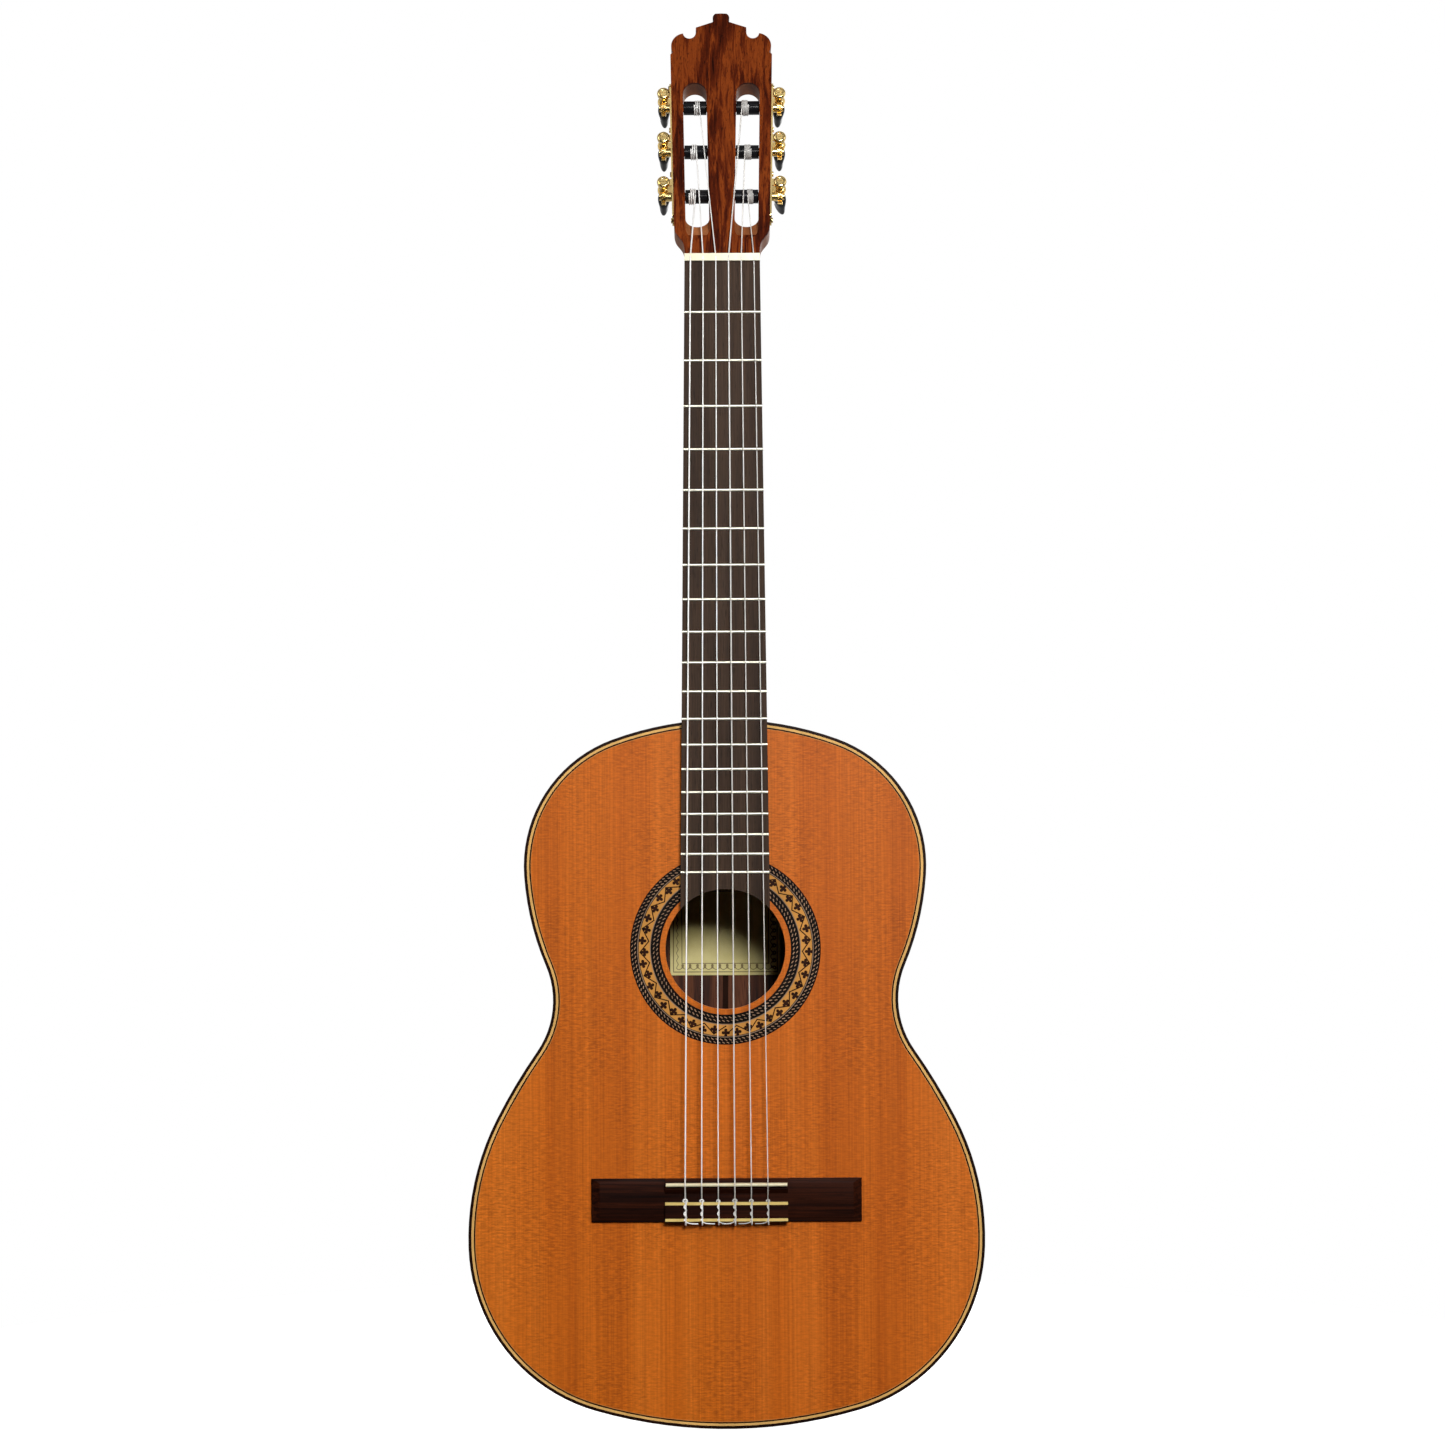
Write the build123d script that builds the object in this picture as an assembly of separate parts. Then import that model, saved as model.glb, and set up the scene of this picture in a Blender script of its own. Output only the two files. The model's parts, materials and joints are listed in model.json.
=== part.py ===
from build123d import *
import math
import os

# A classical guitar in millimetres. X points to the treble side and Y from the front into the body.
# Z points up the neck. The origin is on the centre line, where the nut meets the fingerboard,
# at the level of the soundboard's outer face. A station is a distance down from the nut.

# Strings and frets
SCALE_LENGTH = 650.0
FRET_COUNT = 19
STRING_NAMES = ["1_high_e", "2_b", "3_g", "4_d", "5_a", "6_low_e"]
STRING_DIAMETERS = [0.71, 0.82, 1.02, 0.74, 0.90, 1.09]
SPREAD_AT_NUT = 45.0
SPREAD_AT_SADDLE = 58.0
STRING_CLEARANCE = 0.02
ROLLER_STRING_GAP = 0.35
TIE_STRING_GAP = 0.3
TIE_STRING_OFFSET = 0.4
BEHIND_TIE_BLOCK = 1.2

# Body
BODY_TOP = 325.2
BODY_RADII = [335.5, 123.0, 183.5, 399.0, -62.5, 197.5, 95.0]
BODY_TURNS = [16.0, 72.0, 29.0, 8.0, -58.0, 19.0, 74.0, 20.0]
BACK_RADIUS = 4600.0
BACK_APEX = 638.7
BODY_DEPTH = 101.7
SIDE_THICKNESS = 2.1
SOUNDBOARD_THICKNESS = 2.5
BACK_THICKNESS = 2.5
BINDING_HEIGHT = 6.0
PURFLING_LINES = [1.7, 1.0, 0.4]
PURFLING_GLUE_GAP = 0.02
PURFLING_WIDTH = sum(PURFLING_LINES)
PURFLING_DEPTH = 1.5
LINING_WIDTH = 6.0
LINING_HEIGHT = 15.0
BRACE_GAP = 0.3
TAIL_BLOCK = (70.0, 16.0)
END_GRAFT_WIDTH = 12.0
CENTRE_STRIP_WIDTH = 4.0
LABEL_WIDTH = 81.0
LABEL_STATIONS = (439.0, 509.3)
LABEL_THICKNESS = 0.25
BACK_HALF_DEPTH = 60.0
DEEPER_THAN_BODY = 120.0
WIDER_THAN_BODY = 200.0
BRACE_WIDTH = 6.0
FAN_HEIGHT = 5.0
BAR_HEIGHT = 16.0
FAN_COUNT_A_SIDE = 3
FAN_TOP = (16.0, 570.0)
FAN_BOTTOM = (34.0, 742.0)
CLOSING_INNER = (8.0, 798.0)
CLOSING_OUTER = (108.0, 758.0)
BAR_STATIONS = (425.0, 545.0)
BACK_BRACE_STATIONS = (425.0, 565.0, 690.0)
BACK_BRACE_WIDTH = 8.0
BACK_BRACE_HEIGHT = 14.0

# Soundhole and rosette
HOLE_STATION = 487.2
HOLE_RADIUS = 42.3
INNER_ROPE_RADII = (46.2, 52.8)
OUTER_ROPE_RADII = (61.2, 67.3)
ROSETTE_DEPTH = 1.2
PATCH_RADIUS = 52.0
PATCH_THICKNESS = 1.5

# Neck and fingerboard
BOARD_THICKNESS = 6.0
WIDTH_AT_NUT = 53.5
WIDTH_AT_TWELFTH = 60.3
BOARD_END_RADIUS = 42.3
FRET_HEIGHT = 1.0
FRET_WIDTH = 1.9
TANG_WIDTH = 0.6
TANG_DEPTH = 2.0
NUT_LENGTH = 5.2
NUT_HEIGHT = 8.0
STRING_REST_AT_NUT = 7.4
NECK_SECTIONS = [(-6.0, 16.5), (130.0, 17.5), (250.0, 19.0), (331.0, 21.0)]
HEEL_SECTIONS = [
    (1.0, 29.0, 62.0),
    (8.0, 28.0, 50.0),
    (19.0, 25.0, 30.0),
    (36.0, 20.5, 18.0),
    (62.0, 16.0, 13.0),
    (88.5, 13.5, 12.0),
]
HEEL_CAP_THICKNESS = 2.4
FOOT = (56.0, 22.0)

# Head, in its own frame: x across, u up its face from the nut, h out of its face
HEAD_ANGLE = 14.0
HEAD_RISE = 2.0
HEAD_THICKNESS = 19.0
VENEER_THICKNESS = 2.0
SHOULDER_WIDTH = 68.4
SHOULDER_U = 24.0
SIDE_TOP_WIDTH = 73.6
SIDE_TOP_U = 157.8
SLOT_WIDTH = 17.0
SLOT_LOW = (17.6, 32.5)
SLOT_HIGH = (19.2, 126.5)
RAMP_START_U = 12.0
RAMP_DEPTH = 10.0

# Tuning machines, one for each string
ROLLER_U = [49.7, 84.7, 119.7]
ROLLER_DEPTH = 10.0
ROLLER_RADIUS = 5.0
JOURNAL_RADIUS = 3.0
STUB_RADIUS = 2.0
RUNNING_GAP = 0.05
SIDE_GAP = 0.25
GEAR_TEETH = 14
GEAR_PITCH_RADIUS = 5.4
GEAR_ROOT_RADIUS = 4.65
GEAR_TIP_RADIUS = 6.15
TOOTH_ROOT_WIDTH = 1.16
TOOTH_TIP_WIDTH = 0.6
TOOTH_OVERLAP = 0.35
GEAR_THICKNESS = 3.2
GEAR_HUB_RADIUS = 3.4
GEAR_SCREW_RADIUS = 2.6
GEAR_SCREW_HEIGHT = 1.4
WORM_OFFSET = 8.0
WORM_X = 41.8
WORM_RADIUS = 3.0
WORM_CORE_RADIUS = 1.55
WORM_TURNS = 3
WORM_ROOT_WIDTH = 1.2
WORM_CREST_WIDTH = 0.56
WORM_JOURNAL_RADIUS = 1.2
WORM_END_GAP = 0.15
KNOB_RADIUS = 2.3
KNOB_LENGTH = 1.2
COLLAR_RADIUS = 3.4
COLLAR_LENGTH = 2.2
SPINDLE_RADIUS = 2.5
PITCH = 2 * math.pi * GEAR_PITCH_RADIUS / GEAR_TEETH
LEAD = math.degrees(math.atan(PITCH / (2 * math.pi * (WORM_OFFSET - GEAR_PITCH_RADIUS))))
PLATE_THICKNESS = 1.2
PLATE_SPAN = (33.0, 133.0)
PLATE_WIDTH = 14.8
SCALLOP_RADIUS = 5.6
SMALL_SCALLOP_RADIUS = 3.0
SMALL_SCALLOP_OFFSET = 4.4
LUG_RADIUS = 4.4
LUG_THICKNESS = 2.0
LUG_WIDTH = 5.0
FRONT_LUG_DEPTH = 3.6
REAR_LUG_DEPTH = 16.2
BUTTON_START = 26.5
BUTTON_BORE_RADIUS = 1.5
BUTTON_BORE_DEPTH = 12.0
BUTTON_SECTIONS = [
    (26.5, 2.6, 2.6),
    (28.2, 4.3, 5.2),
    (33.0, 4.1, 6.6),
    (40.0, 3.4, 6.9),
    (45.0, 2.7, 6.4),
    (46.5, 2.0, 5.2),
]
BUTTON_TURNS = [25.0, 4.0, -8.0, -3.0, 3.0, 6.0]
STRING_X_AT_ROLLER = [18.5, 16.8, 15.0, -16.0, -18.2, -19.0]
STRING_HOLE_RADIUS = 0.8
SCREW_U = [31.0, 67.2, 102.2, 135.5]
SCREW_RADIUS = 0.9
SCREW_HEAD_RADIUS = 1.9
SCREW_HEAD_THICKNESS = 0.9
SCREW_LENGTH = 7.0
SCREW_SEAT_GAP = 0.03
DRIVER_SLOT_WIDTH = 0.6
DRIVER_SLOT_DEPTH = 0.5

# Bridge
BRIDGE_LENGTH = 190.0
BRIDGE_FRONT = 647.9
BRIDGE_BACK = 678.2
TIE_BLOCK_WIDTH = 86.0
TIE_BLOCK_FRONT = 664.0
TIE_BLOCK_HEIGHT = 8.6
SADDLE_BLOCK_HEIGHT = 8.2
SADDLE_BLOCK_BACK = 655.0
CHANNEL_HEIGHT = 3.0
CHANNEL_START = 659.5
BRIDGE_CHAMFER = 1.6
TIE_BLOCK_CHAMFER = 0.8
WING_HEIGHT = 4.4
WING_EDGE_HEIGHT = 2.2
WING_SLOPE = 3.2
WING_END_HEIGHT = 1.8
WING_END_SLOPE = 6.0
SADDLE_STATION = 651.7
SADDLE_THICKNESS = 2.4
SADDLE_WIDTH = 85.0
SADDLE_TOP = 11.9
SADDLE_BOTTOM = 2.0
TIE_HOLE_RADIUS = 0.85
TIE_HOLE_HEIGHT = 3.8
TIE_STRIP_WIDTH = 2.0
TIE_STRIP_DEPTH = 1.6

STEP_FOLDER = "parts"


# ---- helpers


def bar(x0, x1, y0, y1, z0, z1):
    """Box between two opposite corners."""
    box = Box(abs(x1 - x0), abs(y1 - y0), abs(z1 - z0))
    return Pos((x0 + x1) / 2, (y0 + y1) / 2, (z0 + z1) / 2) * box


def disc(radius, y0, y1, station):
    """Round plate on the body's centre line, flat to the soundboard."""
    plane = Plane(origin=(0, y0, -station), x_dir=(1, 0, 0), z_dir=(0, 1, 0))
    return extrude(plane * Circle(radius), y1 - y0)


def rod(radius, start, end):
    """Round bar between two points."""
    along = Vector(*end) - Vector(*start)
    return extrude(Plane(origin=start, z_dir=along) * Circle(radius), along.length)


def tube(points, radii, radius):
    """Round cord along straight runs that tangent arcs join."""
    path = FilletPolyline(*points, radius=radii)
    section = Plane(origin=path @ 0, z_dir=path % 0) * Circle(radius)
    return sweep(section, path=path)


def both_sides(shape):
    """A shape and its mirror image across the centre line."""
    return [shape, mirror(shape, about=Plane.YZ)]


def board_width(station):
    return WIDTH_AT_NUT + (WIDTH_AT_TWELFTH - WIDTH_AT_NUT) * station / (SCALE_LENGTH / 2)


def fret_station(number):
    return SCALE_LENGTH * (1 - 2 ** (-number / 12))


def save(node, shape):
    solids = shape.solids() if hasattr(shape, "solids") else [s for part in shape for s in part.solids()]
    if not solids:
        raise ValueError(node + " has no solid")
    whole = solids[0] if len(solids) == 1 else Compound(children=list(solids))
    export_step(whole, os.path.join(STEP_FOLDER, node + ".step"))


# ---- body


def walk_outline(inset, closing_radius):
    """Ends and middle points of the arcs of the right half, from the tail to the top."""
    x = 0.0
    rise = inset
    heading = 0.0
    arcs = []
    for radius, turn in zip(BODY_RADII + [closing_radius], BODY_TURNS):
        size = abs(radius - inset)
        points = [(x, rise)]
        for share in (0.5, 1.0):
            chord = 2 * size * math.sin(math.radians(abs(turn) * share / 2))
            angle = math.radians(heading + turn * share / 2)
            points.append((x + chord * math.cos(angle), rise + chord * math.sin(angle)))
        arcs.append(points)
        x, rise = points[2]
        heading += turn
    return arcs


def find_closing_radius():
    """Radius of the top arc, which ends square to the centre line."""
    last_start = walk_outline(0.0, 1.0)[-1][0]
    return last_start[0] / math.sin(math.radians(BODY_TURNS[-1]))


CLOSING_RADIUS = find_closing_radius()
BODY_LENGTH = walk_outline(0.0, CLOSING_RADIUS)[-1][2][1]
TAIL = BODY_TOP + BODY_LENGTH


def body_prism(inset, y0, y1):
    """Block with the body's outline, moved inwards by inset."""
    edges = []
    for side in (1, -1):
        for points in walk_outline(inset, CLOSING_RADIUS):
            start, middle, end = [(side * x, y0, rise - TAIL) for x, rise in points]
            edges.append(ThreePointArc(start, middle, end))
    return extrude(make_face(edges), amount=y1 - y0, dir=(0, 1, 0))


def back_ball(inset):
    """Ball whose surface is the arched back, moved inwards by inset."""
    return Pos(0, BODY_DEPTH - BACK_RADIUS, -BACK_APEX) * Sphere(BACK_RADIUS - inset)


def body_ring(outer_inset, inner_inset, y0, y1):
    return body_prism(outer_inset, y0, y1) - body_prism(inner_inset, y0 - 1, y1 + 1)


def strut(x0, station0, x1, station1, width, height):
    """Brace glued under the soundboard between two places."""
    length = math.hypot(x1 - x0, station1 - station0)
    lean = math.degrees(math.atan2(x1 - x0, station1 - station0))
    middle = Pos((x0 + x1) / 2, SOUNDBOARD_THICKNESS + height / 2, -(station0 + station1) / 2)
    return middle * Rot(0, -lean, 0) * Box(width, height, length)


def make_soundboard():
    inset = SIDE_THICKNESS + PURFLING_WIDTH
    board = body_prism(inset, 0, PURFLING_DEPTH)
    board += body_prism(SIDE_THICKNESS, PURFLING_DEPTH, SOUNDBOARD_THICKNESS)
    board -= disc(HOLE_RADIUS, -1, SOUNDBOARD_THICKNESS + 1, HOLE_STATION)
    channel = disc(OUTER_ROPE_RADII[1], -1, ROSETTE_DEPTH, HOLE_STATION)
    channel -= disc(INNER_ROPE_RADII[0], -2, ROSETTE_DEPTH + 1, HOLE_STATION)
    return board - channel


def make_ring(inner, outer):
    ring = disc(outer, 0, ROSETTE_DEPTH, HOLE_STATION)
    return ring - disc(inner, -1, ROSETTE_DEPTH + 1, HOLE_STATION)


def make_soundboard_braces():
    fan = []
    for i in range(-FAN_COUNT_A_SIDE, FAN_COUNT_A_SIDE + 1):
        top = (FAN_TOP[0] * i, FAN_TOP[1])
        bottom = (FAN_BOTTOM[0] * i, FAN_BOTTOM[1])
        fan.append(strut(*top, *bottom, BRACE_WIDTH, FAN_HEIGHT))
    closing = []
    for side in (-1, 1):
        inner = (side * CLOSING_INNER[0], CLOSING_INNER[1])
        outer = (side * CLOSING_OUTER[0], CLOSING_OUTER[1])
        closing.append(strut(*inner, *outer, BRACE_WIDTH, FAN_HEIGHT))
    room = body_prism(SIDE_THICKNESS + LINING_WIDTH + BRACE_GAP, 0, DEEPER_THAN_BODY)
    wide = WIDER_THAN_BODY
    bars = [strut(-wide, s, wide, s, BRACE_WIDTH, BAR_HEIGHT) & room for s in BAR_STATIONS]
    patch = disc(PATCH_RADIUS, SOUNDBOARD_THICKNESS, SOUNDBOARD_THICKNESS + PATCH_THICKNESS, HOLE_STATION)
    patch -= disc(HOLE_RADIUS, 0, SOUNDBOARD_THICKNESS + PATCH_THICKNESS + 1, HOLE_STATION)
    return fan + closing + bars + [patch]


def make_back_braces():
    shell = back_ball(BACK_THICKNESS) - back_ball(BACK_THICKNESS + BACK_BRACE_HEIGHT)
    room = body_prism(SIDE_THICKNESS + LINING_WIDTH + BRACE_GAP, 0, DEEPER_THAN_BODY)
    wide = WIDER_THAN_BODY
    half = BACK_BRACE_WIDTH / 2
    braces = []
    for s in BACK_BRACE_STATIONS:
        block = bar(-wide, wide, BACK_HALF_DEPTH, DEEPER_THAN_BODY, -s - half, -s + half)
        braces.append(room & shell & block)
    return braces


# ---- neck and head


def neck_section(station, depth):
    half = board_width(station) / 2
    plane = Plane(origin=(0, 0, -station), x_dir=(1, 0, 0), z_dir=(0, 0, 1))
    curve = EllipticalCenterArc((0, 0), half, depth, start_angle=0, arc_size=180)
    return plane * make_face([curve, Line(curve @ 0, curve @ 1)])


def heel_section(depth, half, reach):
    """Half oval towards the head, with a straight part that enters the body."""
    plane = Plane(origin=(0, depth, -BODY_TOP), x_dir=(1, 0, 0), z_dir=(0, 1, 0))
    curve = EllipticalCenterArc((0, 0), half, reach, start_angle=180, arc_size=180)
    into_body = Polyline(curve @ 1, (half, 6), (-half, 6), curve @ 0)
    return plane * make_face([curve, into_body])


HEAD = Plane(
    origin=(0, -HEAD_RISE, NUT_LENGTH),
    x_dir=(1, 0, 0),
    z_dir=(0, -math.cos(math.radians(HEAD_ANGLE)), math.sin(math.radians(HEAD_ANGLE))),
).location


def head_outline():
    """Outline of the head's face: shoulders, straight sides, ears, scoops and the middle tab."""
    neck = WIDTH_AT_NUT / 2
    shoulder = SHOULDER_WIDTH / 2
    top = SIDE_TOP_WIDTH / 2
    edges = []
    for side in (1, -1):
        places = [
            (0, 0), (neck, 0), (neck, 3), (shoulder, SHOULDER_U), (top, SIDE_TOP_U),
            (34.8, 159.3), (27.6, 174.5), (18.4, 175.0), (18.3, 179.2), (6.1, 183.5),
            (5.2, 184.4), (4.0, 190.3), (0, 190.5),
        ]
        p = [(side * x, u) for x, u in places]
        edges.append(Polyline(p[0], p[1], p[2]))
        edges.append(Bezier(p[2], (side * neck, 15), (side * shoulder, 12), p[3]))
        edges.append(Polyline(p[3], p[4], p[5]))
        edges.append(ThreePointArc(p[5], (side * 36.2, 165.4), p[6]))
        edges.append(ThreePointArc(p[6], (side * 22.5, 170.4), p[7]))
        edges.append(Polyline(p[7], p[8], p[9], p[10]))
        edges.append(ThreePointArc(p[10], (side * 5.95, 187.6), p[11]))
        edges.append(Line(p[11], p[12]))
    return make_face(edges)


def side_x(u):
    """Half width of the head's straight side."""
    share = (u - SHOULDER_U) / (SIDE_TOP_U - SHOULDER_U)
    return (SHOULDER_WIDTH + share * (SIDE_TOP_WIDTH - SHOULDER_WIDTH)) / 2


def slot_x(u):
    """Middle of the treble slot."""
    share = (u - SLOT_LOW[1]) / (SLOT_HIGH[1] - SLOT_LOW[1])
    return SLOT_LOW[0] + share * (SLOT_HIGH[0] - SLOT_LOW[0])


def slot_block(low, high, h0, h1):
    """Round-ended block between two places on the head's face."""
    run = math.hypot(high[0] - low[0], high[1] - low[1])
    turn = math.degrees(math.atan2(high[1] - low[1], high[0] - low[0]))
    middle = Pos((low[0] + high[0]) / 2, (low[1] + high[1]) / 2, h0)
    return extrude(middle * Rot(0, 0, turn) * SlotCenterToCenter(run, SLOT_WIDTH), h1 - h0)


def head_cuts():
    """String slots with their ramps, and the rollers' bearings, for both sides."""
    slot = slot_block(SLOT_LOW, SLOT_HIGH, -HEAD_THICKNESS - 1, 1)
    ramp_low = (slot_x(RAMP_START_U + SLOT_WIDTH / 2), RAMP_START_U + SLOT_WIDTH / 2)
    ramp = slot_block(ramp_low, SLOT_HIGH, -RAMP_DEPTH, 1)
    slope = Polyline(
        (RAMP_START_U, 1), (RAMP_START_U, 0), (SLOT_LOW[1], -RAMP_DEPTH), (SLOT_LOW[1], 1), close=True
    )
    side_plane = Plane(origin=(0, 0, 0), x_dir=(0, 1, 0), z_dir=(1, 0, 0))
    ramp &= extrude(side_plane * make_face(slope), 40)
    cuts = both_sides(slot) + both_sides(ramp)
    for u in ROLLER_U:
        cuts += both_sides(rod(JOURNAL_RADIUS + RUNNING_GAP, (3.5, u, -ROLLER_DEPTH), (50, u, -ROLLER_DEPTH)))
    for u in SCREW_U:
        inner = side_x(u) - SCREW_LENGTH
        cuts += both_sides(rod(SCREW_RADIUS, (inner, u, -ROLLER_DEPTH), (50, u, -ROLLER_DEPTH)))
    return cuts


def head_plate(outer_depth, inner_depth):
    """Layer of the head between two depths behind its face."""
    plate = extrude(Pos(0, 0, -inner_depth) * head_outline(), inner_depth - outer_depth)
    for cut in head_cuts():
        plate -= cut
    return HEAD * plate


def make_neck_wood():
    """Shaft, heel and inner foot, before the head's piece is parted from them."""
    wood = loft([neck_section(s, depth) for s, depth in NECK_SECTIONS])
    wood += loft([heel_section(*values) for values in HEEL_SECTIONS])
    width, length = FOOT
    foot = body_prism(SIDE_THICKNESS, SOUNDBOARD_THICKNESS, DEEPER_THAN_BODY)
    foot &= bar(-width / 2, width / 2, 0, DEEPER_THAN_BODY, -BODY_TOP - length, -BODY_TOP)
    wood += foot & back_ball(BACK_THICKNESS)
    return wood


def scarf_block():
    """Everything above the slanting glue joint of the head's piece."""
    side_plane = Plane(origin=(-60, 0, 0), x_dir=(0, 1, 0), z_dir=(1, 0, 0))
    corners = Polyline((-20, NUT_LENGTH), (0, NUT_LENGTH), (30, -70), (30, 60), (-20, 60), close=True)
    return extrude(side_plane * make_face(corners), 120)


def make_fingerboard():
    long_enough = HOLE_STATION - BOARD_END_RADIUS / 2
    corners = [
        (-board_width(0) / 2, 0, 0),
        (board_width(0) / 2, 0, 0),
        (board_width(long_enough) / 2, 0, -long_enough),
        (-board_width(long_enough) / 2, 0, -long_enough),
    ]
    board = extrude(make_face(Polyline(*corners, close=True)), amount=BOARD_THICKNESS, dir=(0, -1, 0))
    board -= disc(BOARD_END_RADIUS, -BOARD_THICKNESS - 1, 1, HOLE_STATION)
    for number in range(1, FRET_COUNT + 1):
        z = -fret_station(number)
        low = -BOARD_THICKNESS + TANG_DEPTH
        board -= bar(-40, 40, -BOARD_THICKNESS - 1, low, z - TANG_WIDTH / 2, z + TANG_WIDTH / 2)
    return board


def make_fret(number):
    """Round-topped bead with a tang pressed into the fingerboard's slot."""
    station = fret_station(number)
    half = board_width(station) / 2 - 0.15
    plane = Plane(origin=(-half, -BOARD_THICKNESS, -station), x_dir=(0, 0, 1), z_dir=(1, 0, 0))
    # on this plane, local x is up the neck and local y runs into the fingerboard
    bead = ThreePointArc((-FRET_WIDTH / 2, 0), (0, FRET_HEIGHT), (FRET_WIDTH / 2, 0))
    tang = Polyline(
        (FRET_WIDTH / 2, 0), (TANG_WIDTH / 2, 0), (TANG_WIDTH / 2, -TANG_DEPTH),
        (-TANG_WIDTH / 2, -TANG_DEPTH), (-TANG_WIDTH / 2, 0), (-FRET_WIDTH / 2, 0),
    )
    return extrude(plane * make_face([bead, tang]), 2 * half)


# ---- tuning machines, in the head's frame, treble side


def make_plate():
    """Side plate with scalloped ends and a pair of lugs for each worm."""
    low, high = PLATE_SPAN
    middle_h = -ROLLER_DEPTH
    side_plane = Plane(origin=(0, 0, 0), x_dir=(0, 1, 0), z_dir=(1, 0, 0))
    shape = Pos((low + high) / 2, middle_h) * Rectangle(high - low, PLATE_WIDTH)
    for u in (low, high):
        shape += Pos(u, middle_h) * Circle(SCALLOP_RADIUS)
        shape += Pos(u, middle_h + SMALL_SCALLOP_OFFSET) * Circle(SMALL_SCALLOP_RADIUS)
        shape += Pos(u, middle_h - SMALL_SCALLOP_OFFSET) * Circle(SMALL_SCALLOP_RADIUS)
    plate = extrude(side_plane * shape, 60)
    ends = (low - 10, high + 10)
    corners = [(side_x(u), u) for u in ends] + [(side_x(u) + PLATE_THICKNESS, u) for u in reversed(ends)]
    plate &= extrude(Pos(0, 0, -30) * make_face(Polyline(*corners, close=True)), 60)
    for u in ROLLER_U:
        worm_u = u + WORM_OFFSET
        for depth in (FRONT_LUG_DEPTH, REAR_LUG_DEPTH):
            h = -depth - LUG_THICKNESS / 2
            seat = side_x(worm_u) + PLATE_THICKNESS / 2
            half = LUG_WIDTH / 2
            lug = bar(seat, WORM_X, worm_u - half, worm_u + half, h, h + LUG_THICKNESS)
            lug += extrude(Pos(WORM_X, worm_u, h) * Circle(LUG_RADIUS), LUG_THICKNESS)
            plate += lug
        plate -= rod(WORM_JOURNAL_RADIUS + RUNNING_GAP, (WORM_X, worm_u, -30), (WORM_X, worm_u, 5))
        plate -= rod(JOURNAL_RADIUS + RUNNING_GAP, (20, u, middle_h), (60, u, middle_h))
    for u in SCREW_U:
        plate -= rod(SCREW_RADIUS, (20, u, middle_h), (60, u, middle_h))
    return plate


def make_screw(u):
    seat = side_x(u) + PLATE_THICKNESS
    outer = seat + SCREW_HEAD_THICKNESS
    screw = rod(SCREW_RADIUS, (side_x(u) - SCREW_LENGTH, u, -ROLLER_DEPTH), (seat, u, -ROLLER_DEPTH))
    screw += rod(SCREW_HEAD_RADIUS, (seat + SCREW_SEAT_GAP, u, -ROLLER_DEPTH), (outer, u, -ROLLER_DEPTH))
    screw += rod(SCREW_RADIUS, (seat, u, -ROLLER_DEPTH), (outer, u, -ROLLER_DEPTH))
    half = DRIVER_SLOT_WIDTH / 2
    reach = 2 * SCREW_HEAD_RADIUS
    low, high = -ROLLER_DEPTH - half, -ROLLER_DEPTH + half
    return screw - bar(outer - DRIVER_SLOT_DEPTH, outer + 1, u - reach, u + reach, low, high)


def make_roller(u, string_x):
    h = -ROLLER_DEPTH
    inner = slot_x(u) - SLOT_WIDTH / 2 + SIDE_GAP
    outer = slot_x(u) + SLOT_WIDTH / 2 - SIDE_GAP
    roller = rod(ROLLER_RADIUS, (inner, u, h), (outer, u, h))
    roller += rod(JOURNAL_RADIUS, (4.0, u, h), (side_x(u) + PLATE_THICKNESS + SIDE_GAP, u, h))
    roller += rod(STUB_RADIUS, (inner, u, h), (WORM_X + GEAR_THICKNESS / 2, u, h))
    through = ROLLER_RADIUS + 1
    return roller - rod(STRING_HOLE_RADIUS, (string_x, u, h - through), (string_x, u, h + through))


def make_gear(u):
    """Worm wheel with slanted teeth, its hub and its fixing screw."""
    low = WORM_X - GEAR_THICKNESS / 2
    high = WORM_X + GEAR_THICKNESS / 2
    gear = rod(GEAR_ROOT_RADIUS, (low, 0, 0), (high, 0, 0))
    foot = GEAR_ROOT_RADIUS - TOOTH_OVERLAP
    profile = Polyline(
        (foot, -TOOTH_ROOT_WIDTH / 2),
        (GEAR_TIP_RADIUS, -TOOTH_TIP_WIDTH / 2),
        (GEAR_TIP_RADIUS, TOOTH_TIP_WIDTH / 2),
        (foot, TOOTH_ROOT_WIDTH / 2),
        close=True,
    )
    side_plane = Plane(origin=(-GEAR_THICKNESS / 2, 0, 0), x_dir=(0, 1, 0), z_dir=(1, 0, 0))
    tooth = Pos(WORM_X, 0, 0) * Rot(0, -LEAD, 0) * extrude(side_plane * make_face(profile), GEAR_THICKNESS)
    for number in range(GEAR_TEETH):
        gear += Rot(360 / GEAR_TEETH * number, 0, 0) * tooth
    gear += rod(GEAR_HUB_RADIUS, (side_x(u) + PLATE_THICKNESS + SIDE_GAP, 0, 0), (low, 0, 0))
    gear -= rod(STUB_RADIUS, (0, 0, 0), (high, 0, 0))
    top = high + GEAR_SCREW_HEIGHT
    half = DRIVER_SLOT_WIDTH / 2
    screw = rod(GEAR_SCREW_RADIUS, (high, 0, 0), (top, 0, 0))
    screw -= bar(top - DRIVER_SLOT_DEPTH, top + 1, -GEAR_TIP_RADIUS, GEAR_TIP_RADIUS, -half, half)
    return Pos(0, u, -ROLLER_DEPTH) * (gear + screw)


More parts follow.
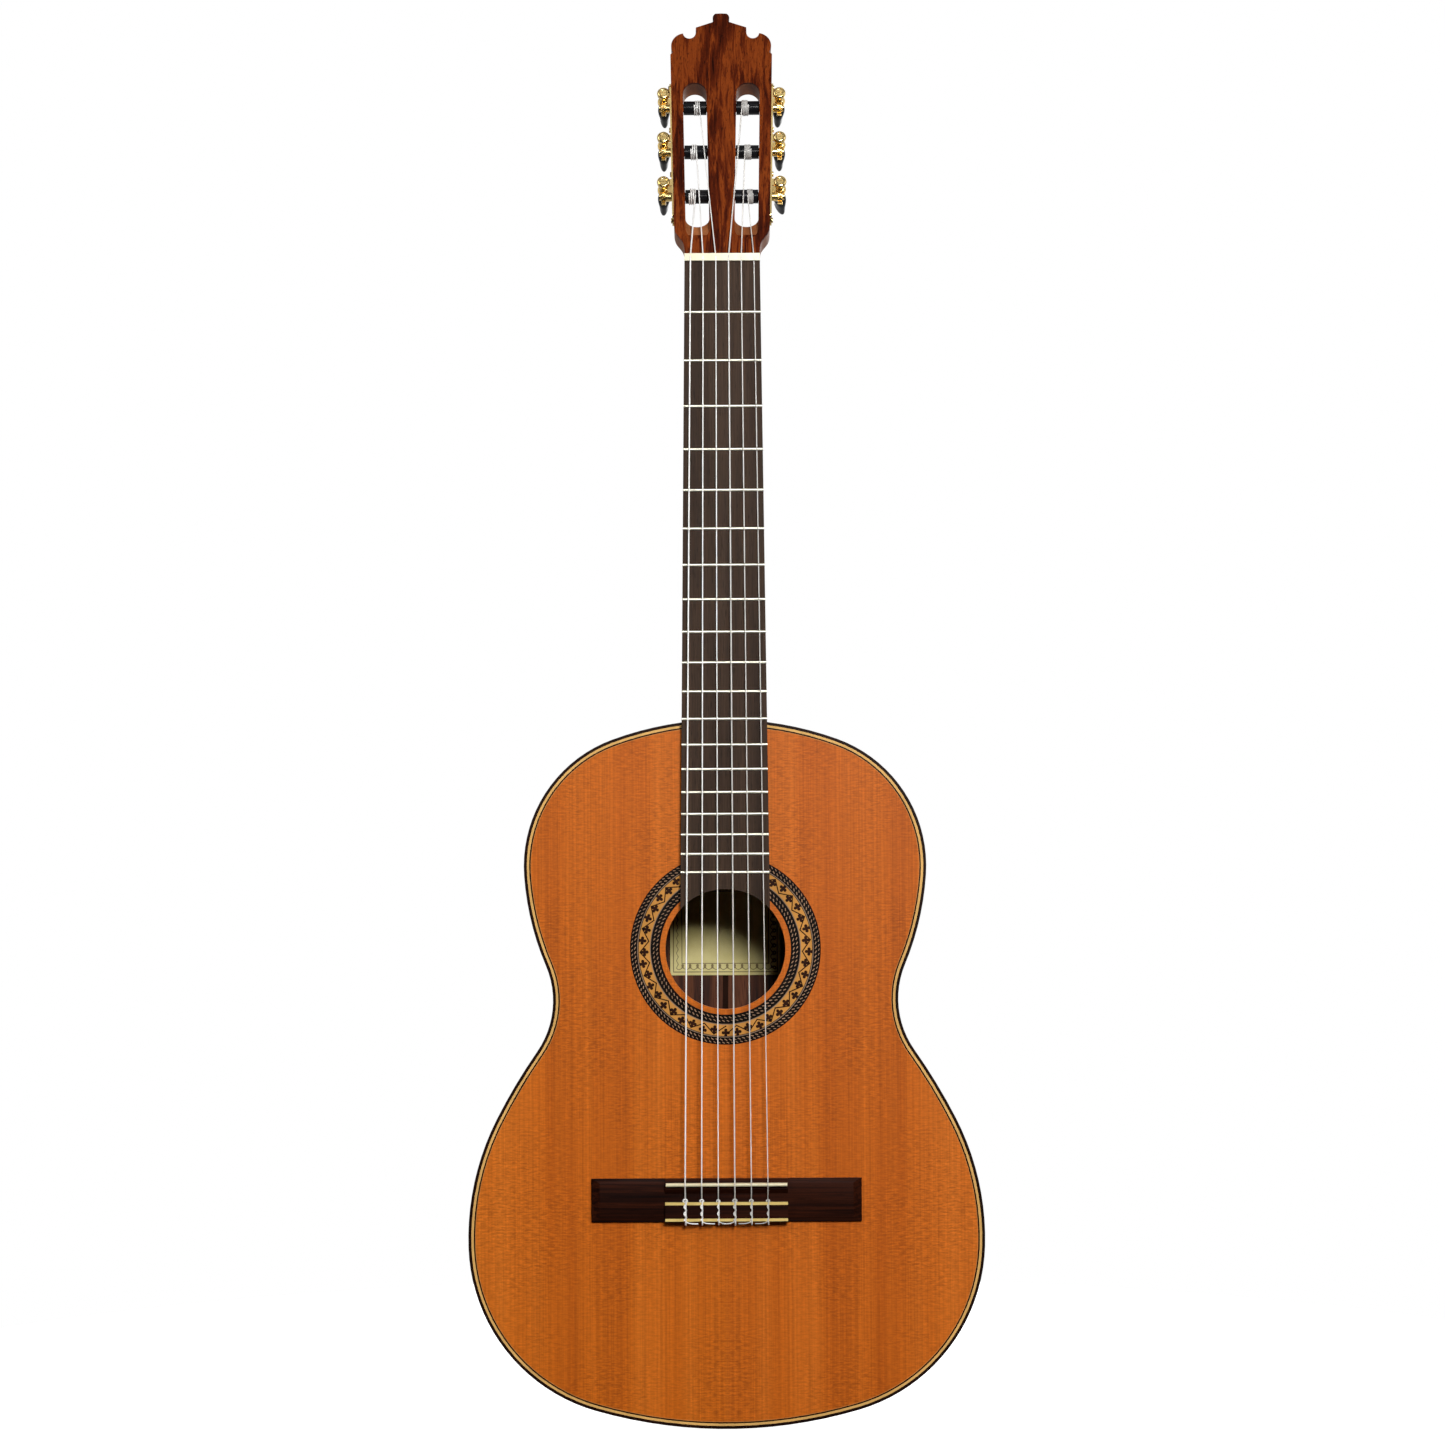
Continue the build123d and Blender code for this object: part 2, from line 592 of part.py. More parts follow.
def make_worm_shaft(u):
    """Worm between its two lugs, with a slotted front end, a rear collar and the button's spindle."""
    height = PITCH * WORM_TURNS
    helix = Helix(PITCH, height, WORM_CORE_RADIUS)
    crest = WORM_RADIUS - WORM_CORE_RADIUS
    sunk = -0.2
    profile = Polyline(
        (sunk, -WORM_ROOT_WIDTH / 2),
        (crest, -WORM_CREST_WIDTH / 2),
        (crest, WORM_CREST_WIDTH / 2),
        (sunk, WORM_ROOT_WIDTH / 2),
        close=True,
    )
    start = Plane(origin=helix @ 0, x_dir=(1, 0, 0), z_dir=helix % 0)
    thread = sweep(start * make_face(profile), path=helix, is_frenet=True)
    thread = Rot(0, 0, -90) * Pos(0, 0, -height / 2) * thread
    front_lug = ROLLER_DEPTH - FRONT_LUG_DEPTH
    rear_lug = ROLLER_DEPTH - REAR_LUG_DEPTH
    gap = LUG_THICKNESS / 2 + WORM_END_GAP
    front = front_lug + gap
    rear = rear_lug - gap
    end = ROLLER_DEPTH - BUTTON_START
    shaft = thread + rod(WORM_CORE_RADIUS, (0, 0, rear_lug + gap), (0, 0, front_lug - gap))
    shaft += rod(WORM_JOURNAL_RADIUS, (0, 0, rear), (0, 0, front))
    top = front + KNOB_LENGTH
    half = DRIVER_SLOT_WIDTH / 2
    knob = rod(KNOB_RADIUS, (0, 0, front), (0, 0, top))
    shaft += knob - bar(-COLLAR_RADIUS, COLLAR_RADIUS, -half, half, top - DRIVER_SLOT_DEPTH, top + 1)
    shaft += rod(COLLAR_RADIUS, (0, 0, rear - COLLAR_LENGTH), (0, 0, rear))
    shaft += rod(SPINDLE_RADIUS, (0, 0, end), (0, 0, rear - COLLAR_LENGTH))
    shaft += rod(BUTTON_BORE_RADIUS, (0, 0, end - BUTTON_BORE_DEPTH), (0, 0, end))
    return Pos(WORM_X, u + WORM_OFFSET, -ROLLER_DEPTH) * shaft


def make_button(u, turn):
    """Flat oval button that narrows to its end."""
    sections = [Pos(0, 0, -depth) * Ellipse(across, broad) for depth, across, broad in BUTTON_SECTIONS]
    button = loft(sections)
    button -= rod(BUTTON_BORE_RADIUS, (0, 0, -BUTTON_START - BUTTON_BORE_DEPTH), (0, 0, -BUTTON_START + 1))
    return Pos(WORM_X, u + WORM_OFFSET, 0) * Rot(0, 0, turn) * button


# ---- bridge and strings


def string_x(number, spread):
    """Place of a string across the neck; number 0 is the high E."""
    return spread * (0.5 - number / 5)


def head_point(x, u, h):
    return tuple((HEAD * Pos(x, u, h)).position)


def string_route(number):
    """Route from the roller over nut and saddle, through the tie block and back over it."""
    radius = STRING_DIAMETERS[number] / 2
    x_nut = string_x(number, SPREAD_AT_NUT)
    x_saddle = string_x(number, SPREAD_AT_SADDLE)
    u = ROLLER_U[number] if number < 3 else ROLLER_U[5 - number]
    reach = ROLLER_RADIUS + radius + ROLLER_STRING_GAP
    climb = math.atan2(ROLLER_DEPTH - reach + 6, u)
    over_roller = head_point(
        STRING_X_AT_ROLLER[number], u - reach * math.sin(climb), reach * math.cos(climb) - ROLLER_DEPTH
    )
    hole = -TIE_HOLE_HEIGHT
    over_block = -TIE_BLOCK_HEIGHT - radius - TIE_STRING_GAP
    behind = BRIDGE_BACK + radius + BEHIND_TIE_BLOCK
    return [
        over_roller,
        (x_nut, -STRING_REST_AT_NUT - radius, NUT_LENGTH / 2),
        (x_saddle, -SADDLE_TOP - radius - STRING_CLEARANCE, -SADDLE_STATION),
        (x_saddle, hole, -TIE_BLOCK_FRONT + 0.8),
        (x_saddle, hole, -behind),
        (x_saddle + TIE_STRING_OFFSET, over_block, -behind),
        (x_saddle + TIE_STRING_OFFSET, over_block, -TIE_BLOCK_FRONT + 1.2),
    ]


STRING_BENDS = [4.0, 2.0, 1.2, 1.6, 1.6]


def make_string(number, extra=0.0):
    return tube(string_route(number), STRING_BENDS, STRING_DIAMETERS[number] / 2 + extra)


def make_bridge_block():
    """Middle part with saddle block, channel and tie block, and a low wing each side."""
    half = TIE_BLOCK_WIDTH / 2
    side_plane = Plane(origin=(-half, 0, 0), x_dir=(0, 1, 0), z_dir=(1, 0, 0))
    profile = Polyline(
        (0, -BRIDGE_FRONT),
        (-SADDLE_BLOCK_HEIGHT + BRIDGE_CHAMFER, -BRIDGE_FRONT),
        (-SADDLE_BLOCK_HEIGHT, -BRIDGE_FRONT - BRIDGE_CHAMFER),
        (-SADDLE_BLOCK_HEIGHT, -SADDLE_BLOCK_BACK),
        (-CHANNEL_HEIGHT, -CHANNEL_START),
        (-CHANNEL_HEIGHT, -TIE_BLOCK_FRONT),
        (-TIE_BLOCK_HEIGHT, -TIE_BLOCK_FRONT),
        (-TIE_BLOCK_HEIGHT, -BRIDGE_BACK + TIE_BLOCK_CHAMFER),
        (-TIE_BLOCK_HEIGHT + TIE_BLOCK_CHAMFER, -BRIDGE_BACK),
        (0, -BRIDGE_BACK),
        close=True,
    )
    bridge = extrude(side_plane * make_face(profile), TIE_BLOCK_WIDTH)
    end = BRIDGE_LENGTH / 2
    wing_plane = Plane(origin=(-end, 0, 0), x_dir=(0, 1, 0), z_dir=(1, 0, 0))
    wing = Polyline(
        (0, -BRIDGE_FRONT),
        (-WING_EDGE_HEIGHT, -BRIDGE_FRONT),
        (-WING_HEIGHT, -BRIDGE_FRONT - WING_SLOPE),
        (-WING_HEIGHT, -BRIDGE_BACK + WING_SLOPE),
        (-WING_EDGE_HEIGHT, -BRIDGE_BACK),
        (0, -BRIDGE_BACK),
        close=True,
    )
    wings = extrude(wing_plane * make_face(wing), BRIDGE_LENGTH)
    ends = Polyline(
        (-end, 0),
        (-end, -WING_END_HEIGHT),
        (-end + WING_END_SLOPE, -WING_HEIGHT),
        (end - WING_END_SLOPE, -WING_HEIGHT),
        (end, -WING_END_HEIGHT),
        (end, 0),
        close=True,
    )
    wings &= extrude(Pos(0, 0, -BRIDGE_BACK - 5) * make_face(ends), 50)
    bridge += wings
    half_saddle = SADDLE_THICKNESS / 2
    low, high = -SADDLE_STATION - half_saddle, -SADDLE_STATION + half_saddle
    bridge -= bar(-SADDLE_WIDTH / 2, SADDLE_WIDTH / 2, -2 * SADDLE_TOP, -SADDLE_BOTTOM, low, high)
    for number in range(6):
        x = string_x(number, SPREAD_AT_SADDLE)
        y = -TIE_HOLE_HEIGHT
        bridge -= rod(TIE_HOLE_RADIUS, (x, y, -BRIDGE_BACK - 5), (x, y, -CHANNEL_START))
    for strip in make_tie_strips():
        bridge -= strip
    return bridge


def make_tie_strips():
    half = TIE_BLOCK_WIDTH / 2
    top = -TIE_BLOCK_HEIGHT
    fronts = (TIE_BLOCK_FRONT, BRIDGE_BACK - TIE_BLOCK_CHAMFER - TIE_STRIP_WIDTH)
    return [bar(-half, half, top, top + TIE_STRIP_DEPTH, -s, -s - TIE_STRIP_WIDTH) for s in fronts]


def make_saddle():
    half = SADDLE_THICKNESS / 2
    side_plane = Plane(origin=(-SADDLE_WIDTH / 2, 0, -SADDLE_STATION), x_dir=(0, 1, 0), z_dir=(1, 0, 0))
    shoulder = -SADDLE_TOP + half * 0.8
    crown = ThreePointArc((shoulder, -half), (-SADDLE_TOP, 0), (shoulder, half))
    foot = Polyline((shoulder, half), (-SADDLE_BOTTOM, half), (-SADDLE_BOTTOM, -half), (shoulder, -half))
    return extrude(side_plane * make_face([crown, foot]), SADDLE_WIDTH)


# ---- the whole guitar


def build_body(neck):
    save("soundboard", make_soundboard() - neck)
    save("rosette_mosaic", make_ring(INNER_ROPE_RADII[1], OUTER_ROPE_RADII[0]))
    save("rosette_rope_bands", [make_ring(*INNER_ROPE_RADII), make_ring(*OUTER_ROPE_RADII)])
    save("top_binding", body_ring(0, SIDE_THICKNESS, 0, BINDING_HEIGHT) - neck)
    lines = []
    inset = SIDE_THICKNESS
    for width in PURFLING_LINES:
        line = body_ring(inset, inset + width - PURFLING_GLUE_GAP, 0, PURFLING_DEPTH)
        lines.append(line - neck)
        inset += width
    save("top_purfling", lines)

    rib = body_ring(0, SIDE_THICKNESS, BINDING_HEIGHT, DEEPER_THAN_BODY)
    back_edge = rib & (back_ball(0) - back_ball(BINDING_HEIGHT))
    save("back_binding", back_edge - neck)
    half_graft = END_GRAFT_WIDTH / 2
    graft_room = bar(-half_graft, half_graft, 0, DEEPER_THAN_BODY, -TAIL - 1, -TAIL + 10)
    rib &= back_ball(BINDING_HEIGHT)
    save("end_graft", rib & graft_room)
    rib = rib - graft_room - neck
    treble_room = bar(0, 300, -50, DEEPER_THAN_BODY, -TAIL - 50, 0)
    save("side_treble", rib & treble_room)
    save("side_bass", rib - treble_room)

    plate = body_prism(SIDE_THICKNESS, BACK_HALF_DEPTH, DEEPER_THAN_BODY)
    plate &= back_ball(0) - back_ball(BACK_THICKNESS)
    half_strip = CENTRE_STRIP_WIDTH / 2
    strip_room = bar(-half_strip, half_strip, -50, DEEPER_THAN_BODY, -TAIL - 50, 0)
    save("back_centre_strip", plate & strip_room)
    plate -= strip_room
    save("back_treble_half", plate & treble_room)
    save("back_bass_half", plate - treble_room)

    width, length = TAIL_BLOCK
    block = body_prism(SIDE_THICKNESS, SOUNDBOARD_THICKNESS, DEEPER_THAN_BODY)
    block &= bar(-width / 2, width / 2, 0, DEEPER_THAN_BODY, -TAIL, -TAIL + length)
    block &= back_ball(BACK_THICKNESS)
    save("tail_block", block)

    outer = SIDE_THICKNESS
    inner = SIDE_THICKNESS + LINING_WIDTH
    front_lining = body_ring(outer, inner, SOUNDBOARD_THICKNESS, SOUNDBOARD_THICKNESS + LINING_HEIGHT)
    back_lining = body_ring(outer, inner, BACK_HALF_DEPTH, DEEPER_THAN_BODY)
    back_lining &= back_ball(BACK_THICKNESS) - back_ball(BACK_THICKNESS + LINING_HEIGHT)
    save("linings", [front_lining - block - neck, back_lining - block - neck])
    save("soundboard_braces", make_soundboard_braces())
    save("back_braces", make_back_braces())
    paper = back_ball(BACK_THICKNESS) - back_ball(BACK_THICKNESS + LABEL_THICKNESS)
    half = LABEL_WIDTH / 2
    top, bottom = LABEL_STATIONS
    save("label", paper & bar(-half, half, BACK_HALF_DEPTH, DEEPER_THAN_BODY, -bottom, -top))


def build_neck():
    """Saves the pieces of neck and head, and returns the neck's solid."""
    wood = make_neck_wood() - make_soundboard_slab()
    parting = scarf_block()
    face_cut = HEAD * bar(-60, 60, 0, 60, -VENEER_THICKNESS, 20)
    neck = wood - parting
    head = ((wood & parting) - face_cut) + head_plate(VENEER_THICKNESS, HEAD_THICKNESS)
    nut_half = WIDTH_AT_NUT / 2
    nut = bar(-nut_half, nut_half, -NUT_HEIGHT, 0, 0, NUT_LENGTH)
    head -= neck
    head -= nut
    save("neck", neck)
    save("headstock", head)

    veneer = head_plate(0, VENEER_THICKNESS) - bar(-60, 60, -30, 30, -20, NUT_LENGTH)
    save("head_veneer", veneer)
    for number in range(6):
        nut -= make_string(number, STRING_CLEARANCE)
    save("nut", nut)

    depth, half, reach = HEEL_SECTIONS[-1]
    cap = extrude(heel_section(depth, half, reach), HEEL_CAP_THICKNESS)
    cap -= body_prism(0, 0, DEEPER_THAN_BODY)
    save("heel_cap", cap)
    save("fingerboard", make_fingerboard())
    save("frets", [make_fret(number) for number in range(1, FRET_COUNT + 1)])
    return neck


def make_soundboard_slab():
    slab = body_prism(SIDE_THICKNESS + PURFLING_WIDTH, -1, PURFLING_DEPTH)
    return slab + body_prism(SIDE_THICKNESS, PURFLING_DEPTH, SOUNDBOARD_THICKNESS)


def build_bridge_and_strings():
    save("bridge", make_bridge_block())
    saddle = make_saddle()
    for number in range(6):
        saddle -= make_string(number, STRING_CLEARANCE)
    save("saddle", saddle)
    save("tie_block_trim", make_tie_strips())
    for number, name in enumerate(STRING_NAMES):
        save("string_" + name, make_string(number))


def build_machines():
    plates = both_sides(make_plate())
    save("tuner_plate_treble", HEAD * plates[0])
    save("tuner_plate_bass", HEAD * plates[1])
    screws = [both_sides(make_screw(u)) for u in SCREW_U]
    save("tuner_screws", [HEAD * screw for pair in screws for screw in pair])
    for number in range(6):
        side = 0 if number < 3 else 1
        u = ROLLER_U[number] if number < 3 else ROLLER_U[5 - number]
        turn = BUTTON_TURNS[number]
        label = str(number + 1)
        roller = both_sides(make_roller(u, abs(STRING_X_AT_ROLLER[number])))[side]
        save("roller_" + label, HEAD * roller)
        save("gear_" + label, HEAD * both_sides(make_gear(u))[side])
        save("worm_shaft_" + label, HEAD * both_sides(make_worm_shaft(u))[side])
        save("button_" + label, HEAD * both_sides(make_button(u, turn))[side])


os.makedirs(STEP_FOLDER, exist_ok=True)
neck_solid = build_neck()
build_body(neck_solid)
build_bridge_and_strings()
build_machines()
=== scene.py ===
import json
import math

import bmesh
import bpy
from mathutils import Matrix, Vector


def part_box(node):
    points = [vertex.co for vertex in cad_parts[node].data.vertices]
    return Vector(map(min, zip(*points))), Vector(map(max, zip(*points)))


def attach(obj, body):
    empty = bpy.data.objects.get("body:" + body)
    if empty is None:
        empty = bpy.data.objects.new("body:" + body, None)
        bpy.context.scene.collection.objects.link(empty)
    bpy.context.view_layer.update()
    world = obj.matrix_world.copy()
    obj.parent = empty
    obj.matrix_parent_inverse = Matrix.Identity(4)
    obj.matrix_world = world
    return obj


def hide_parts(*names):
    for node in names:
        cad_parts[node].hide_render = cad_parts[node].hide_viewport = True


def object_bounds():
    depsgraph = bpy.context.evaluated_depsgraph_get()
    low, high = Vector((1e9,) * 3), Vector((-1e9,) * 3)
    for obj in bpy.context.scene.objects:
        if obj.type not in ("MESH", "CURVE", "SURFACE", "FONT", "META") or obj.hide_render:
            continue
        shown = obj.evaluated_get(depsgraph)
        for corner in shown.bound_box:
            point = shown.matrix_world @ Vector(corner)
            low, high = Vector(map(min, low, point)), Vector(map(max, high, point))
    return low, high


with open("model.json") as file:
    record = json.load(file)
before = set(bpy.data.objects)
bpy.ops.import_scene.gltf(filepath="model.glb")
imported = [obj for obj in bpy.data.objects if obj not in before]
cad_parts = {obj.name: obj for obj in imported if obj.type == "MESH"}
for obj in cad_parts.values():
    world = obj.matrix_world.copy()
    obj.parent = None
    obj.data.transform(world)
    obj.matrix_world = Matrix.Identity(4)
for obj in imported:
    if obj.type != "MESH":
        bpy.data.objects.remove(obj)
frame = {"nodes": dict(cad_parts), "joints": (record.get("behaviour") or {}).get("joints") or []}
cad_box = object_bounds()

MM = 0.001
TREBLE_STRINGS = ["string_1_high_e", "string_2_b", "string_3_g"]
BASS_STRINGS = ["string_4_d", "string_5_a", "string_6_low_e"]
STRING_RADII = [0.355 * MM, 0.41 * MM, 0.51 * MM, 0.37 * MM, 0.45 * MM, 0.545 * MM]
HEAD_ANGLE = math.radians(14.0)
JOINTS = {joint["name"]: joint for joint in frame["joints"]}


def middle_of(node):
    low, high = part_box(node)
    return (low + high) / 2


# ---- camera, lights and floor


def make_camera():
    """Looks square at the strings from in front, a little from below, as if on a low tripod."""
    distance = 2.3
    tilt = math.radians(2.23)
    roll = math.radians(0.27)
    aim = Vector((-1.3 * MM, -7 * MM, -327.65 * MM))
    forward = Vector((0, math.cos(tilt), math.sin(tilt)))
    right = Vector((1, 0, 0))
    up = right.cross(forward)
    turned_up = up * math.cos(roll) + right * math.sin(roll)
    turned_right = right * math.cos(roll) - up * math.sin(roll)
    camera = bpy.data.cameras.new("camera")
    camera.lens = 81.29
    camera.sensor_width = 36.0
    camera.clip_end = 50.0
    holder = bpy.data.objects.new("camera", camera)
    bpy.context.scene.collection.objects.link(holder)
    turn = Matrix((turned_right, turned_up, -forward)).transposed().to_4x4()
    holder.matrix_world = Matrix.Translation(aim - forward * distance) @ turn
    bpy.context.scene.camera = holder
    bpy.context.scene.view_settings.view_transform = "Standard"


def add_light(name, place, aim, size, power, tint=(1.0, 1.0, 1.0)):
    light = bpy.data.lights.new(name, "AREA")
    light.shape = "RECTANGLE"
    light.size, light.size_y = size
    light.energy = power
    light.color = tint
    holder = bpy.data.objects.new(name, light)
    bpy.context.scene.collection.objects.link(holder)
    holder.location = place
    holder.rotation_euler = (Vector(aim) - Vector(place)).to_track_quat("-Z", "Y").to_euler()
    return holder


def make_studio():
    """White paper all round, a dark room behind the camera, and soft boxes at the front."""
    world = bpy.data.worlds.new("studio")
    bpy.context.scene.world = world
    world.use_nodes = True
    nodes = world.node_tree.nodes
    links = world.node_tree.links
    nodes.clear()
    output = nodes.new("ShaderNodeOutputWorld")
    seen = nodes.new("ShaderNodeBackground")
    seen.inputs["Color"].default_value = (1, 1, 1, 1)
    room = nodes.new("ShaderNodeBackground")
    ray = nodes.new("ShaderNodeLightPath")
    choose = nodes.new("ShaderNodeMixShader")
    direction = nodes.new("ShaderNodeTexCoord")
    parts = nodes.new("ShaderNodeSeparateXYZ")
    paper = nodes.new("ShaderNodeMapRange")
    paper.interpolation_type = "SMOOTHSTEP"
    paper.inputs["From Min"].default_value = -0.55
    paper.inputs["From Max"].default_value = 0.0
    paper.inputs["To Min"].default_value = 0.02
    paper.inputs["To Max"].default_value = 0.60
    links.new(direction.outputs["Generated"], parts.inputs[0])
    links.new(parts.outputs[1], paper.inputs["Value"])
    links.new(paper.outputs["Result"], room.inputs["Strength"])
    links.new(ray.outputs["Is Camera Ray"], choose.inputs["Fac"])
    links.new(room.outputs["Background"], choose.inputs[1])
    links.new(seen.outputs["Background"], choose.inputs[2])
    links.new(choose.outputs["Shader"], output.inputs["Surface"])
    middle = (0.0, 0.0, -0.45)
    add_light("key_light", (0.40, -2.1, 0.34), middle, (0.5, 0.5), 50.0)
    add_light("left_light", (-1.5, -1.3, 0.85), middle, (0.8, 1.2), 11.0)
    add_light("right_light", (1.7, -1.1, 0.6), middle, (0.7, 1.2), 7.0)
    add_light("head_light", (0.0, -1.5, 1.55), (0.0, 0.03, 0.1), (0.9, 0.5), 1.2)
    add_light("back_light", (0.6, 1.9, 0.5), middle, (2.0, 1.5), 12.0)


def make_floor():
    low = cad_box[0]
    bpy.ops.object.select_all(action="DESELECT")
    bpy.ops.mesh.primitive_circle_add(
        vertices=96, radius=0.8, fill_type="NGON", location=(0, 0.1, low.z - 0.012)
    )
    floor = bpy.context.active_object
    floor.name = "floor"
    pale = bpy.data.materials.new("pale_floor")
    pale.use_nodes = True
    shader = pale.node_tree.nodes["Principled BSDF"]
    shader.inputs["Base Color"].default_value = (0.82, 0.82, 0.82, 1)
    shader.inputs["Roughness"].default_value = 0.9
    shader.inputs["Specular IOR Level"].default_value = 0.1
    shader.inputs["Emission Color"].default_value = (1, 1, 1, 1)
    shader.inputs["Emission Strength"].default_value = 1.0
    floor.data.materials.append(pale)
    floor.visible_diffuse = False
    floor.visible_glossy = False


# ---- finishes


class Finish:
    """A procedural finish being put together on one material."""

    def __init__(self, name):
        self.material = bpy.data.materials.new(name)
        self.material.use_nodes = True
        self.tree = self.material.node_tree
        self.shader = self.tree.nodes["Principled BSDF"]

    def node(self, kind, **settings):
        made = self.tree.nodes.new("ShaderNode" + kind)
        for name, value in settings.items():
            setattr(made, name, value)
        return made

    def join(self, value, socket):
        """Links an output, or sets a plain value."""
        if isinstance(value, bpy.types.NodeSocket):
            self.tree.links.new(value, socket)
        else:
            socket.default_value = value

    def place(self, scale=(1, 1, 1), turn=(0, 0, 0)):
        """Object coordinates, turned and then stretched."""
        vector = self.node("TexCoord").outputs["Object"]
        for socket, value in (("Rotation", turn), ("Scale", scale)):
            mapping = self.node("Mapping")
            mapping.inputs[socket].default_value = value
            self.join(vector, mapping.inputs["Vector"])
            vector = mapping.outputs["Vector"]
        return vector

    def noise(self, vector, scale=1.0, detail=3.0, roughness=0.5, distortion=0.0):
        made = self.node("TexNoise")
        self.join(vector, made.inputs["Vector"])
        made.inputs["Scale"].default_value = scale
        made.inputs["Detail"].default_value = detail
        made.inputs["Roughness"].default_value = roughness
        made.inputs["Distortion"].default_value = distortion
        return made.outputs["Fac"]

    def ramp(self, value, stops):
        made = self.node("ValToRGB")
        ramp = made.color_ramp
        while len(ramp.elements) < len(stops):
            ramp.elements.new(0.5)
        for element, (place, colour) in zip(ramp.elements, stops):
            element.position = place
            element.color = colour if len(colour) == 4 else (*colour, 1.0)
        self.join(value, made.inputs["Fac"])
        return made.outputs["Color"]

    def grey_ramp(self, value, low, high, dark=0.0, light=1.0):
        return self.ramp(value, [(low, (dark,) * 3), (high, (light,) * 3)])

    def mix(self, share, first, second, blend="MIX"):
        made = self.node("Mix", data_type="RGBA", blend_type=blend)
        self.join(share, made.inputs[0])
        self.join(first if isinstance(first, bpy.types.NodeSocket) else (*first, 1.0), made.inputs[6])
        self.join(second if isinstance(second, bpy.types.NodeSocket) else (*second, 1.0), made.inputs[7])
        return made.outputs[2]

    def math(self, operation, first, second=0.0):
        made = self.node("Math", operation=operation)
        self.join(first, made.inputs[0])
        self.join(second, made.inputs[1])
        return made.outputs[0]

    def bump(self, height, strength, distance):
        made = self.node("Bump")
        made.inputs["Strength"].default_value = strength
        made.inputs["Distance"].default_value = distance
        self.join(height, made.inputs["Height"])
        self.join(made.outputs["Normal"], self.shader.inputs["Normal"])

    def set(self, socket, value):
        if isinstance(value, tuple):
            value = (*value, 1.0)
        self.join(value, self.shader.inputs[socket])


def lacquer(finish, roughness=0.12, coat=0.6):
    """Clear polished lacquer over the wood."""
    finish.set("Coat Weight", coat)
    finish.set("Coat Roughness", roughness)
    finish.set("Coat IOR", 1.5)


def cedar_finish():
    """Bookmatched cedar: fine straight grain, soft wide bands and silky cross figure."""
    finish = Finish("cedar_soundboard")
    position = finish.place()
    parts = finish.node("SeparateXYZ")
    finish.join(position, parts.inputs[0])
    mirrored = finish.math("ABSOLUTE", parts.outputs[0])
    matched = finish.node("CombineXYZ")
    finish.join(mirrored, matched.inputs[0])
    finish.join(parts.outputs[1], matched.inputs[1])
    finish.join(parts.outputs[2], matched.inputs[2])

    def stretched(across, along):
        mapping = finish.node("Mapping")
        mapping.inputs["Scale"].default_value = (across, 1.0, along)
        finish.join(matched.outputs[0], mapping.inputs["Vector"])
        return mapping.outputs["Vector"]

    bands = finish.noise(stretched(34, 0.9), 1.0, 2.0, 0.5)
    lines = finish.noise(stretched(620, 3.0), 1.0, 2.0, 0.6)
    fibres = finish.noise(stretched(1500, 26.0), 1.0, 2.0, 0.6)
    silk = finish.noise(stretched(190, 820.0), 1.0, 3.0, 0.65, 0.35)
    silk_patches = finish.noise(stretched(16, 11.0), 1.0, 2.0, 0.5)
    base = finish.ramp(bands, [
        (0.30, (0.43, 0.086, 0.0035)), (0.48, (0.53, 0.118, 0.0060)), (0.72, (0.62, 0.154, 0.012)),
    ])
    grain = finish.grey_ramp(lines, 0.34, 0.62, 0.80, 1.06)
    colour = finish.mix(0.8, base, grain, "MULTIPLY")
    fine = finish.grey_ramp(fibres, 0.35, 0.68, 0.84, 1.08)
    colour = finish.mix(0.5, colour, fine, "MULTIPLY")
    shimmer = finish.grey_ramp(silk, 0.36, 0.66, 0.68, 1.20)
    amount = finish.grey_ramp(silk_patches, 0.38, 0.62, 0.45, 1.0)
    colour = finish.mix(amount, colour, finish.mix(1.0, colour, shimmer, "MULTIPLY"))
    half = finish.grey_ramp(finish.math("ADD", finish.math("MULTIPLY", parts.outputs[0], 400.0), 0.5), 0.0, 1.0)
    redder = finish.mix(1.0, colour, (0.97, 0.95, 1.05), "MULTIPLY")
    colour = finish.mix(half, colour, redder)
    finish.set("Base Color", colour)
    finish.set("Roughness", 0.46)
    finish.set("Specular IOR Level", 0.12)
    finish.bump(fibres, 0.08, 0.00008)
    lacquer(finish, 0.1, 0.08)
    return finish.material


def rosewood_finish(name, dark, middle, light, runs="up", turn=0.0, along=5.0, streak_scale=150.0,
                    pore_strength=0.75, waviness=0.7):
    """Rosewood with inky streaks and long open pores; runs says which way its grain lies."""
    finish = Finish(name)

    def grain(across, length):
        scales = {
            "up": (across, across, length), "sideways": (length, across, across), "round": (length, across, length),
        }
        return finish.place(scales[runs], (turn, 0, 0))

    wide = finish.noise(grain(28, along * 0.35), 1.0, 3.0, 0.6, 0.9)
    streaks = finish.noise(grain(streak_scale, along), 1.0, 4.0, 0.62, waviness)
    pores = finish.noise(grain(1500, along * 13), 1.0, 2.0, 0.5)
    figure = finish.math("ADD", finish.math("MULTIPLY", wide, 0.45), finish.math("MULTIPLY", streaks, 0.55))
    colour = finish.ramp(figure, [(0.36, dark), (0.47, middle), (0.54, light), (0.64, middle), (0.74, dark)])
    open_pores = finish.grey_ramp(pores, 0.30, 0.42, 1.0 - pore_strength, 1.0)
    colour = finish.mix(0.8, colour, open_pores, "MULTIPLY")
    finish.set("Base Color", colour)
    finish.set("Roughness", 0.42)
    finish.set("Specular IOR Level", 0.18)
    finish.bump(open_pores, 0.15, 0.00008)
    return finish


